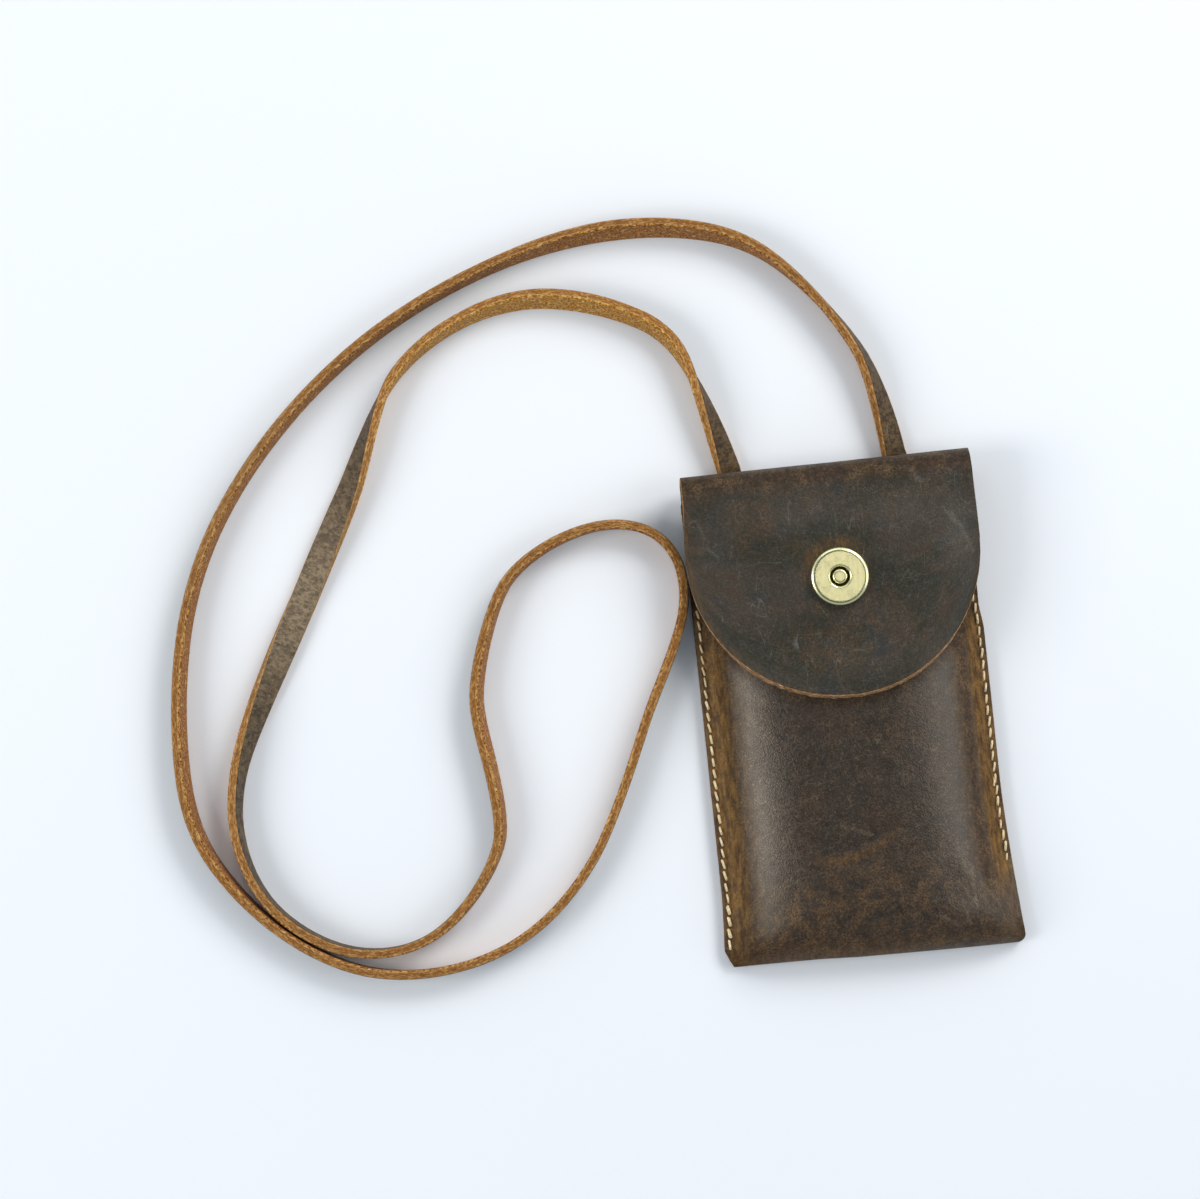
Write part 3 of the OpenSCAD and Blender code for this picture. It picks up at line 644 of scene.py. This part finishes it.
def make_back_and_flap():
    """One sheet of hide: the back, round the top fold, and over the front as the flap."""
    cols = 150
    k = np.linspace(-1, 1, cols)
    share = 0.5 * k + 0.5 * np.sin(k * math.pi / 2)
    left = share < 0
    back_y = np.concatenate([np.linspace(BOTTOM_Y + LEATHER + 0.3, 18, 56, endpoint=False),
                             np.linspace(18, FOLD_Y, 48, endpoint=False)])
    angles = np.radians(np.linspace(-90, 90, 40, endpoint=False))
    slope_y = np.linspace(FOLD_Y, SLOPE_END, 28, endpoint=False)
    tip_share = np.linspace(0, 1, 90) ** 0.95
    slope = ease((FOLD_Y - slope_y) / (FOLD_Y - SLOPE_END))
    backs, folds = len(back_y), len(back_y) + len(angles)
    straight = folds + len(slope_y)
    rows = straight + len(tip_share)
    line = np.concatenate([
        np.stack([back_y, lift(back_y)], 1),
        np.stack([FOLD_Y + FOLD_R * np.cos(angles), FOLD_Z + FOLD_R * np.sin(angles)], 1),
        np.stack([slope_y, FOLD_Z + FOLD_R + FOLD_DIP * slope], 1)])
    fold_half, flap_half = (np.where(left, *half) for half in (FOLD_HALF, FLAP_HALF))
    # The cut is square at the fold and slants more and more towards the tip
    side_reach = np.where(left, 0.4, 0.2)
    tip_reach = side_reach + 1.15 * np.sqrt(1 - share ** 2)
    outer, reach = np.zeros((rows, cols, 3)), np.zeros((rows, cols)) + side_reach
    for r, (y, z) in enumerate(line):
        w = half_w(y, share) if r < backs else fold_half
        if r >= folds:
            w = fold_half + (flap_half - fold_half) * slope[r - folds]
        outer[r] = np.stack([share * (w - reach[r]), np.full(cols, y), np.full(cols, z)], 1)
    for r, q in enumerate(tip_share, straight):
        reach[r] = side_reach + (tip_reach - side_reach) * q ** 2
        tip_y = ROUND_Y - (HALF_W - tip_reach) * np.sqrt(1 - share ** 2)
        outer[r] = np.stack([share * (flap_half - reach[r]), SLOPE_END + q * (tip_y - SLOPE_END),
                             np.full(cols, FLAP_TOP)], 1)
    fx, fy = outer[backs:, :, 0], outer[backs:, :, 1]
    upper = outer[backs:, :, 2] > FOLD_Z + 0.5 * FOLD_R
    droop = SIDE_DROOP * (np.clip(np.abs(fx) - LEVEL_HALF, 0, None) / (HALF_W - LEVEL_HALF)) ** 2
    outer[backs:, :, 2] -= droop * ease((FOLD_Y - fy) / (FOLD_Y - SLOPE_END)) * upper
    # The worked hide isn't quite flat and its tip stands off, but it stays level under the snap
    gap = np.hypot(fx, fy - SNAP_Y)
    outer[backs:, :, 2] += 0.35 * soft_waves(fx, fy, 3, 46.0) * ease((gap - 12) / 14) * upper
    outer[backs:, :, 2] += 2.2 * ease((27 - fy) / 22) * upper
    fold_arc = np.clip((outer[:, :, 1] - FOLD_Y) / FOLD_R, 0, 1)
    dents = soft_waves(outer[:, :, 0], outer[:, :, 2], 8, 30.0)
    outer[:, :, 1] -= 0.25 * (0.5 + 0.5 * dents) * ease(fold_arc * 1.5)
    normals = -grid_normals(outer)
    inner = outer - normals * LEATHER
    # Groove under the back in which the stitches run
    bx = outer[:backs, :, 0]
    off = np.abs(bx) - (half_w(back_y[:, None], bx) - STITCH_INSET)
    in_run = (back_y > BOTTOM_Y + 4) & (back_y < MOUTH_Y - 2)
    outer[:backs, :, 2] += GROOVE_D * np.exp(-(off / GROOVE_HALF) ** 4) * in_run[:, None]
    place = np.stack([outer[:, :, 0], np.repeat(-along_of(outer[:, cols // 2])[:, None], cols, axis=1),
                      np.zeros((rows, cols))], 2)
    ox, oy = outer[:, :, 0], outer[:, :, 1]
    on_top = outer[:, :, 2] > FOLD_Z
    ring, around = np.hypot(ox, oy - SNAP_Y), np.arctan2(oy - SNAP_Y, ox)
    # The wax is drawn out round the snap and along the cut edge
    halo = (bell(ring - 11.6, 2.4) * np.clip(np.cos(around - math.radians(112)), 0, 1) ** 1.2
            + spots(ox, oy, (0.5, -8.5, 36.8, 2.6, 2.6), (0.35, -14, 58, 4, 2.5),
                    (0.2, 20, 70, 2.5, 6), (0.2, -33, 62, 3, 8)))
    rim = bell(HALF_W - np.hypot(ox, np.minimum(oy - ROUND_Y, 0)), 1.3)
    wear_and_arris_highlight = (spots(ox, oy, (0.5, -10, 22, 14, 9), (0.35, 12, 30, 14, 12), (0.3, -28, 64, 9, 10))
            + 0.2 * bell(oy - 74, 5))
    # The thin pale line along the crest of the top fold is a painted highlight; the rest are real scuffs
    # and scratches
    scuff_and_highlight = (spots(ox, oy, (0.2, 42, 58, 5, 14)) + 0.22 * bell(oy - 85.4, 0.9)
             + 0.25 * scratches(ox, oy, 0.55, *FLAP_SCRATCHES))
    marks = {"pull": np.clip(0.34 * halo + 0.25 * rim, 0, 1) * on_top,
             # Painted shade: the hide is darkened over the top fold
             "fold": 0.75 * ease((oy - 75.5) / 6.0),
             "wear_and_arris_highlight": wear_and_arris_highlight * on_top,
             "scuff_and_highlight": np.clip(scuff_and_highlight, 0, 1) * on_top}
    burnish = np.zeros((rows, cols))
    burnish[:backs + len(angles) // 2] = 0.9
    burnish[backs + len(angles) // 2:straight, cols // 2:] = 0.75
    piece = hide_piece("back_and_flap_hide", outer, inner, normals, place, marks, reach, burnish,
                       [flap_hide, flesh_tan, edge_tan], fray=0.09)
    cut_strap_slots(piece)
    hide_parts("back_panel", "flap")
    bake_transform(piece)


def cut_strap_slots(piece):
    """Cuts the two slots through the back that the strap ends pass through."""
    points, faces = [], []
    half_x, half_y = SLOT_W / 2 - SLOT_ROUND, SLOT_L / 2 - SLOT_ROUND
    for side in (-1, 1):
        first = len(points)
        ring = [(side * STRAP_X + cx * half_x + SLOT_ROUND * math.cos(a),
                 SLOT_Y + cy * half_y + SLOT_ROUND * math.sin(a))
                for cx, cy, start in ((1, 1, 0), (-1, 1, 90), (-1, -1, 180), (1, -1, 270))
                for a in np.radians(start + np.arange(0, 91, 30))]
        n = len(ring)
        points += [(x, y, z) for z in (RISE - 1.5, RISE + LEATHER + 1.5) for x, y in ring]
        faces += [tuple(first + k for k in range(n)), tuple(first + n + k for k in range(n))]
        for k in range(n):
            m = (k + 1) % n
            faces.append((first + k, first + m, first + n + m, first + n + k))
    punch = build_mesh("slot_punch", points, faces, [edge_tan])
    cut = piece.modifiers.new("slots", "BOOLEAN")
    cut.object, cut.operation, cut.solver, cut.material_mode = punch, "DIFFERENCE", "EXACT", "TRANSFER"
    piece.data = baked(piece, cut)
    bpy.data.objects.remove(punch)


make_back_and_flap()


# Front

def make_front():
    """Puffed front: nose of the bottom fold, toe, crown and open edge, with flat flanges."""
    cols, nose_rows, toe_rows, top_rows = 170, 5, 28, 196
    rows = nose_rows + toe_rows + top_rows
    k = np.linspace(-1, 1, cols)
    c = 0.42 * k + 0.58 * np.sin(k * math.pi / 2)
    edge_reach = 0.35
    s = np.abs(c) * HALF_W / (HALF_W - FLANGE_W)
    flange_z = 2 * LEATHER

    def fullness(y):
        """Share of the full puff. At the lower right the filling spills over the stitches."""
        return puff(s * (1 - 0.08 * (c > 0) * ease((-50 - y) / 16)))

    def level(y):
        swell = 1.0 + 0.05 * bell(c * HALF_W - 26, 20.0) * bell(y + 52, 30.0)
        return lift(y) + flange_z + (crown(y) - lift(y) - flange_z) * fullness(y) * swell

    full = fullness(0.0)
    toe = TOE_MIN + (TOE_L - TOE_MIN) * fullness(BOTTOM_Y)

    outer = np.zeros((rows, cols, 3))
    for r in range(nose_rows):
        a = math.pi / 2 * r / nose_rows
        outer[r, :, 1] = BOTTOM_Y + LEATHER * (1 - math.sin(a))
        outer[r, :, 2] = LEATHER * (1 - math.cos(a))
    for r in range(toe_rows):
        a = math.pi / 2 * r / (toe_rows - 1)
        outer[nose_rows + r, :, 1] = BOTTOM_Y + toe * (1 - math.cos(a))
        outer[nose_rows + r, :, 2] = LEATHER + (level(BOTTOM_Y + toe) - LEATHER) * math.sin(a)
    for r in range(top_rows):
        y = BOTTOM_Y + toe + (MOUTH_Y - BOTTOM_Y - toe) * (r + 1) / top_rows
        outer[nose_rows + toe_rows + r, :, 1] = y
        outer[nose_rows + toe_rows + r, :, 2] = level(y)
    y = outer[:, :, 1]
    outer[:, :, 0] = c * (half_w(y, np.repeat(c[None, :], rows, axis=0)) - edge_reach)
    x = outer[:, :, 0]
    # The filled front is a little uneven, but level under the snap
    puffed = np.clip((full - 0.15) / 0.85, 0, 1) * ease((y - BOTTOM_Y - 6) / 24)
    away = ease((np.hypot(x, y - SNAP_Y) - 14) / 10)
    outer[:, :, 2] += (0.45 * soft_waves(x, y, 21, 42.0) + 0.1 * soft_waves(x, y, 22, 15)) * puffed * away
    # A crease runs from the right shoulder out to the corner
    raised = np.clip(full * 3, 0, 1)
    outer[:, :, 2] += 0.7 * scratches(x, y, 5.0, (34, -58, 49, -82)) * raised
    outer[:, :, 2] -= 0.5 * scratches(x, y, 2.5, (41, -56, 48, -70)) * raised
    normals = grid_normals(outer)
    thick = np.full((rows, cols), LEATHER - 0.03)
    thick[:nose_rows + 6] = np.linspace(1.2, LEATHER - 0.03, nose_rows + 6)[:, None]
    inner = outer - normals * thick[:, :, None]
    above_back = np.maximum(inner[:, :, 2], lift(y) + LEATHER)
    inner[:, :, 2] = np.where(y > BOTTOM_Y + LEATHER, above_back, inner[:, :, 2])
    along = along_of(outer[:, cols // 2])
    place = np.stack([x, np.repeat(along[:, None], cols, axis=1), np.zeros((rows, cols))], 2)
    left = c < 0
    # The wax is drawn out of the flanges and, less, of the valleys beside them
    band = np.where(left, ease((s - 0.83) / 0.14), ease((s - 0.9) / 0.1))
    band = np.maximum(band * (1 - 0.35 * ease((s - 1.06) / 0.03)), 0.3 * ease((s - 0.74) / 0.12))
    dim = 0.7 + 0.3 * ease((y + 84) / 30) - 0.5 * (c > 0) * ease((-58 - y) / 16)
    arc_line = bell(np.hypot(x + 12, y + 18) - 34.0, 1.4) * bell(x + 2, 12.0) * (y < -30)
    # Painted shade in the crease of the valley beside each flange, stronger on the right
    valley_crease_shade = bell(s - 0.9, 0.05) * np.where(left, 0.4, 0.9 * ease((y + 78) / 16))
    # Painted shadow: the front is darkened in a band just below the rim of the flap, where its tip shades
    # it
    from_flap = np.hypot(x, np.minimum(y - ROUND_Y, 0)) - HALF_W
    # The fold mark is darker towards the bottom, painted shade where the hide turns under over its own
    # reddish-brown tone, plus the painted shade of the valley creases and the painted shadow of the flap
    marks = {
        "pull": 0.9 * band * dim + spots(x, y, (0.75, -12, -84.6, 32, 3)) + 0.3 * arc_line,
        "wear_and_arris_highlight": (0.08 + 0.6 * arc_line + 0.9 * bell(y + 84, 7)
                 + spots(x, y, (0.65, 2, -66, 34, 13), (0.3, 8, -8, 16, 7), (0.7, -28, -72, 12, 11))),
        "fold": 0.7 * ease((-70 - y) / 12) + valley_crease_shade + 0.8 * (1 - ease((from_flap - 0.5) / 4.5)),
        # The long faint spot over the left shoulder is a painted highlight; the other spots and the lines
        # are real scuffs and scratches
        "scuff_and_highlight": (spots(x, y, (0.3, 46, -80, 4, 4), (0.1, -30, -40, 9, 40))
                  + 0.5 * scratches(x, y, 0.5, *FRONT_SCRATCHES))}
    marks = {key: np.clip(value, 0, 1) for key, value in marks.items()}
    burnish = np.full((rows, cols), 0.85)
    burnish[-1] = 0.0
    reach = np.full((rows, cols), edge_reach)
    piece = hide_piece("front_hide", outer, inner, normals, place, marks, reach, burnish,
                       [front_hide, flesh_tan, edge_tan], fray=0.04)
    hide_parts("front_panel")
    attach(piece, "pouch")


make_front()


# Stitches

def stitch_tree():
    """Lays one slanted stitch and one awl hole at every point of a seam line."""
    tree = bpy.data.node_groups.new("saddle_stitches", "GeometryNodeTree")
    face = tree.interface
    for way in ("OUTPUT", "INPUT"):
        face.new_socket("Geometry", in_out=way, socket_type="NodeSocketGeometry")
    for name, value in (("Run", 3.4), ("Thread", 1.6), ("Arch", 0.75), ("Sink", 0.8), ("Hole", 0.34)):
        face.new_socket(name, in_out="INPUT", socket_type="NodeSocketFloat").default_value = value * MM
    seed = face.new_socket("Seed", in_out="INPUT", socket_type="NodeSocketInt").identifier
    given = add(tree, "NodeGroupInput").outputs
    low = times(tree, given["Sink"], -1.0)
    ends = []
    for part, z in ((0.0, low), (0.1, given["Arch"]), (0.9, given["Arch"]), (1.0, low)):
        y = times(tree, given["Run"], part)
        ends.append(add(tree, "ShaderNodeCombineXYZ", {"Y": y, "Z": z}))
    curve = add(tree, "GeometryNodeCurvePrimitiveBezierSegment",
                {"Resolution": 10, "Start": ends[0], "Start Handle": ends[1],
                 "End Handle": ends[2], "End": ends[3]})
    # The thread thins at both ends, where it goes down its hole
    middle = times(tree, add(tree, "GeometryNodeSplineParameter"), 2.0, -1.0)
    taper = add(tree, "ShaderNodeMath", {0: middle, 1: 4.0}, operation="POWER")
    half = times(tree, given["Thread"], 0.5)
    ring = add(tree, "GeometryNodeCurvePrimitiveCircle", {"Resolution": 8, "Radius": half})
    body = add(tree, "GeometryNodeCurveToMesh",
               {"Curve": curve, "Profile Curve": ring, "Scale": times(tree, taper, -0.45, 1.0),
                "Fill Caps": True})
    body = add(tree, "GeometryNodeSetShadeSmooth", {"Geometry": body})
    lay = add(tree, "GeometryNodeInputNamedAttribute", {"Name": "lay"}, data_type="FLOAT_VECTOR")
    wobble, size = (
        add(tree, "FunctionNodeRandomValue", {"Min": least, "Max": most, "Seed": given["Seed"]},
            data_type="FLOAT_VECTOR")
        for least, most in (((-0.03, -0.05, -0.08), (0.03, 0.05, 0.08)),
                            ((0.86, 0.9, 0.9), (1.12, 1.06, 1.1))))
    turned = add(tree, "ShaderNodeVectorMath", {0: lay, 1: wobble}, operation="ADD")
    turned = add(tree, "FunctionNodeEulerToRotation", {0: turned})
    laid = {"Points": given["Geometry"], "Rotation": turned}
    stitches = add(tree, "GeometryNodeInstanceOnPoints", {**laid, "Instance": body, "Scale": size})
    # Each awl hole is a flat dark disc just above the hide: painted shade of the hole
    disc = add(tree, "GeometryNodeMeshCircle", {"Vertices": 10, "Radius": given["Hole"]}, fill_type="NGON")
    disc = add(tree, "GeometryNodeStoreNamedAttribute",
               {"Geometry": disc, "Name": "awl_hole", "Value": 1.0}, data_type="FLOAT", domain="FACE")
    disc = add(tree, "GeometryNodeTransform",
               {"Geometry": disc, "Scale": (0.75, 1.2, 1.0), "Translation": (0, -0.0001, 0.00004)})
    holes = add(tree, "GeometryNodeInstanceOnPoints", {**laid, "Instance": disc})
    both = add(tree, "GeometryNodeJoinGeometry", {"Geometry": [stitches, holes]})
    sewn = add(tree, "GeometryNodeRealizeInstances", {"Geometry": both})
    sewn = add(tree, "GeometryNodeSetMaterial", {"Geometry": sewn, "Material": thread})
    mark = add(tree, "GeometryNodeInputNamedAttribute", {"Name": "awl_hole"}, data_type="FLOAT")
    is_hole = add(tree, "FunctionNodeCompare", {"A": mark, "B": 0.5}, data_type="FLOAT",
                  operation="GREATER_THAN")
    sewn = add(tree, "GeometryNodeSetMaterial",
               {"Geometry": sewn, "Selection": is_hole, "Material": hole_dark})
    add(tree, "NodeGroupOutput", {"Geometry": sewn})
    return tree, seed


stitching, seed_input = stitch_tree()


def make_seam(side, name, node_name):
    """Stitches of one seam, on the front and under the back."""
    draw = np.random.default_rng(31 + side)
    points, lays = [], []
    for y in FIRST_STITCH + PITCH * np.arange(STITCHES):
        width, z = float(half_w(y, side)), float(lift(y))
        x = width - STITCH_INSET + draw.normal(0, 0.08)
        tilt = math.atan2(lift(y + PITCH) - z, PITCH)
        turn = math.atan2(half_w(y + PITCH, side) - width, PITCH) + math.radians(10)
        points += [(side * x, y + 0.3, z + 2 * LEATHER + 0.02),
                   (side * x, y + 0.3, z + GROOVE_D - 0.03)]
        lays += [(tilt, 0.0, -side * turn), (-tilt, math.pi, -side * turn)]
    for y in ((-77.0, -73.0, -69.0) if side < 0 else (-34.0,)):
        # The thread is sewn twice where a length of it ends
        x = float(half_w(y, side)) - STITCH_INSET - 0.45
        points.append((side * x, y + 1.3, 2 * LEATHER + 0.2))
        lays.append((0.0, 0.0, -side * 0.12))
    mesh = bpy.data.meshes.new(name + "_line")
    mesh.from_pydata([(x * MM, (y + float(hang(x, y))) * MM, z * MM) for x, y, z in points], [], [])
    lay = mesh.attributes.new("lay", "FLOAT_VECTOR", "POINT")
    lay.data.foreach_set("vector", np.array(lays, np.float32).ravel())
    line = new_object(name, mesh)
    modifier = line.modifiers.new("stitches", "NODES")
    modifier.node_group = stitching
    modifier[seed_input] = 5 + side
    line.data = baked(line, modifier)
    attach(line, "pouch")
    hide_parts(node_name)


make_seam(-1, "left_saddle_stitches", "left_seam_thread")
make_seam(1, "right_saddle_stitches", "right_seam_thread")


# Turned metal pieces

def turned_shape(points, faces, kinds, centre, profile, segments, flip):
    """Adds a closed shape turned round an upright axis. The profile gives radius, height and,
    where it isn't the first, the material of the face that starts there."""
    rings = []
    for r, z, *_ in profile:
        rings.append([len(points)] if r < 1e-6 else list(range(len(points), len(points) + segments)))
        for a in [0.0] if r < 1e-6 else np.linspace(0, 2 * math.pi, segments, endpoint=False):
            x, y = centre[0] + r * math.cos(a), centre[1] + r * math.sin(a)
            points.append((x, y, centre[2] + (-z if flip else z)))
    pairs = list(zip(rings, rings[1:]))
    if len(rings[0]) > 1 and len(rings[-1]) > 1:
        pairs.append((rings[-1], rings[0]))
    for row, (low, high) in enumerate(pairs):
        kind = profile[row][2] if len(profile[row]) > 2 else 0
        for k in range(segments):
            n = (k + 1) % segments
            if len(low) == 1:
                faces.append((low[0], high[k], high[n]))
            elif len(high) == 1:
                faces.append((low[k], low[n], high[0]))
            else:
                faces.append((low[k], low[n], high[n], high[k]))
            kinds.append(kind)


def turned_piece(name, centres, profile, materials, body, node_name, segments=96, flip=False):
    """Piece made of one turned shape at each centre, riding on a body."""
    points, faces, kinds = [], [], []
    for centre in centres:
        turned_shape(points, faces, kinds, centre, profile, segments, flip)
    made = build_mesh(name, points, faces, materials, kinds, sharp=28.0)
    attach(made, body)
    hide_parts(node_name)


def corner(cx, cz, r, start, end, steps, high=None):
    """Points of a rounded corner, in degrees from the outward direction, r wide and high high."""
    return [(cx + r * math.cos(a), cz + (high or r) * math.sin(a))
            for a in np.radians(np.linspace(start, end, steps))]


def dome(r, rim, h, base=0.0, steps=14):
    """Upper face of a cap, from its rim's height up to its top."""
    return [(r * math.cos(a), base + rim + (h - rim) * math.sin(a))
            for a in np.linspace(0, math.pi / 2, steps)][:-1] + [(0.0, base + h)]


COVER_R, COVER_H, WELL_R, WELL_FLOOR = 10.0, 3.0, 3.4, 0.8
snap_at = [(0.0, SNAP_Y, FLAP_TOP)]
# The well's wall and floor take the dark brass: painted shade in the recess
turned_piece(
    "snap_cover_cap", snap_at,
    [(1.6, 0.0)] + corner(COVER_R - 0.35, 0.35, 0.35, -90, 0, 5)
    + corner(COVER_R - 1.6, COVER_H - 0.85, 1.6, 0, 90, 16, 0.85)
    + [(7.8, COVER_H), (6.0, COVER_H), (4.6, COVER_H)]
    + corner(WELL_R + 0.75, COVER_H - 0.75, 0.75, 90, 180, 8)
    + [(WELL_R, COVER_H - 0.95, 1), (WELL_R, WELL_FLOOR + 0.15, 1), (WELL_R - 0.15, WELL_FLOOR, 1),
       (1.6, WELL_FLOOR, 1)],
    [brass, brass_well_shade], "flap", "snap_cover")
base_z = -LEATHER - 0.5
turned_piece(
    "snap_rivet_turned", snap_at,
    [(0.0, base_z - 0.4), (2.0, base_z - 0.4), (2.2, base_z - 0.2), (2.2, base_z), (1.5, base_z),
     (1.5, 0.8), (2.4, 0.8), (2.6, 1.0)]
    + corner(1.75, 1.55, 0.9, 0, 90, 9, 0.75) + [(1.2, 2.31), (0.0, 2.32)],
    [brass], "flap", "snap_rivet", segments=64)
case_at = [(0.0, SNAP_Y, SEAT_H + STUD_H)]
turned_piece(
    "snap_magnet_cup", case_at,
    [(3.0, 0.0), (8.4, 0.0)] + corner(8.5, 0.5, 0.5, -90, 0, 6)
    + [(9.0, 2.0), (8.7, 2.0), (8.7, 0.6), (8.4, 0.3), (3.0, 0.3)],
    [brass], "flap", "snap_magnet_case")
turned_piece(
    "snap_ring_magnet", case_at,
    [(3.0, 0.3), (8.2, 0.3), (8.3, 0.4), (8.3, 1.4), (8.2, 1.5), (3.0, 1.5)],
    [ferrite], "flap", "snap_magnet")
turned_piece(
    "snap_base_disc", case_at,
    [(1.6, 1.5), (8.2, 1.5), (8.3, 1.6), (8.3, 2.0), (1.6, 2.0)],
    [nickel], "flap", "snap_base_plate")
stud_at = [(0.0, SNAP_Y, SEAT_H)]
turned_piece(
    "stud_disc", stud_at,
    [(1.4, 0.0), (8.9, 0.0), (9.0, 0.1)] + corner(8.6, STUD_H - 0.4, 0.4, 0, 90, 6) + [(1.4, STUD_H)],
    [brass], "pouch", "stud_plate")
turned_piece(
    "stud_rivet_turned", stud_at,
    [(0.0, -3.05), (1.9, -3.05), (2.0, -2.95), (2.0, -2.65), (1.3, -2.65), (1.3, STUD_H), (2.15, STUD_H)]
    + dome(2.2, 0.2, 0.7, STUD_H),
    [brass], "pouch", "stud_rivet", segments=64)
turned_piece(
    "stud_washer_disc", stud_at,
    [(1.4, -2.65), (5.9, -2.65), (6.0, -2.55), (6.0, -2.15), (5.9, -2.05), (1.4, -2.05)],
    [nickel], "pouch", "stud_washer")
post_top = RISE + LEATHER + 0.1 + STRAP_END_T
turned_piece(
    "strap_rivets_inner", [(-STRAP_X, RIVET_Y, 0.0), (STRAP_X, RIVET_Y, 0.0)],
    [(0.0, RISE), (1.2, RISE), (1.2, post_top), (3.8, post_top), (4.0, post_top + 0.15)]
    + dome(4.0, 0.42, 1.2, post_top),
    [brass], "pouch", "strap_rivet_posts", segments=48)
turned_piece(
    "strap_rivets_outer", [(-STRAP_X, RIVET_Y, RISE), (STRAP_X, RIVET_Y, RISE)],
    [(0.0, 0.0), (3.8, 0.0), (4.0, 0.15)] + dome(4.0, 0.42, 1.2),
    [brass], "pouch", "strap_rivet_caps", segments=48, flip=True)


# Table and light

TABLE_Z = -0.0002


def make_table():
    """Matt white table top, just below the pouch."""
    made, tree, skin = new_material("matt_white_table")
    place = add(tree, "ShaderNodeTexCoord").outputs["Object"]
    tone = patches(tree, place, 420.0, 0.3, 0.7, 1.0, 1.0)
    fit(tree, skin, {
        "Base Color": dyed(tree, "#f6f7f9", (tone, "#f9fafb")), "Roughness": 0.9,
        "Specular IOR Level": 0.1})
    mesh = bpy.data.meshes.new("table_top")
    corners = ((-3, -3), (3, -3), (3, 3), (-3, 3))
    mesh.from_pydata([(x, y, TABLE_Z) for x, y in corners], [], [(0, 1, 2, 3)])
    mesh.materials.append(made)
    new_object("table_top", mesh)


def soft_box(name, place, width, height, radiance, colour):
    """Large lamp that looks at the pouch, as bright as radiance, where 1 is a lit white page."""
    data = bpy.data.lights.new(name, "AREA")
    data.shape = "RECTANGLE"
    data.size, data.size_y = width, height
    data.energy = radiance * math.pi * width * height
    data.color = colour
    lamp = new_object(name, data)
    lamp.location = place
    lamp.rotation_euler = (-Vector(place)).to_track_quat("-Z", "Y").to_euler()


def make_studio():
    """Room with bright walls and a dark ceiling, and the dark side where the camera's stand is."""
    world = bpy.data.worlds.new("studio_room")
    bpy.context.scene.world = world
    world.use_nodes = True
    tree = world.node_tree
    seen = add(tree, "ShaderNodeTexCoord").outputs["Generated"]
    way = add(tree, "ShaderNodeSeparateXYZ", {"Vector": seen})
    light = 0.82
    # Each shade: an axis, where along it the room is darkest and brightest, and the share left
    shades = (("Z", 0.97, 0.6, 0.08), ("Z", 0.05, 0.4, 0.4), ("Y", -0.75, 0.1, 0.75))
    for axis, dark_at, bright_at, dark in shades:
        part = add(tree, "ShaderNodeMapRange",
                   {"Value": way.outputs[axis], "From Min": dark_at, "From Max": bright_at,
                    "To Min": dark}, interpolation_type="SMOOTHSTEP")
        light = times(tree, light, part)
    fit(tree, tree.nodes["Background"], {"Color": (0.72, 0.86, 1.0, 1.0), "Strength": light})


make_table()
make_studio()
soft_box("overhead_box", (0.127, 0.045, 1.95), 0.45, 0.45, 1.35, (1.0, 0.99, 0.98))
soft_box("left_box", (-1.45, -0.05, 1.0), 0.8, 0.9, 5.0, (1.0, 0.98, 0.95))
soft_box("right_box", (1.36, -0.05, 1.12), 0.8, 1.0, 2.1, (1.0, 0.98, 0.95))
soft_box("back_box", (-0.3, 1.35, 1.3), 1.0, 0.6, 1.4, (1.0, 0.99, 0.98))
soft_box("back_right_box", (0.95, 1.1, 1.2), 0.8, 0.8, 7.6, (1.0, 0.98, 0.96))

bpy.context.scene.view_settings.view_transform = "Standard"
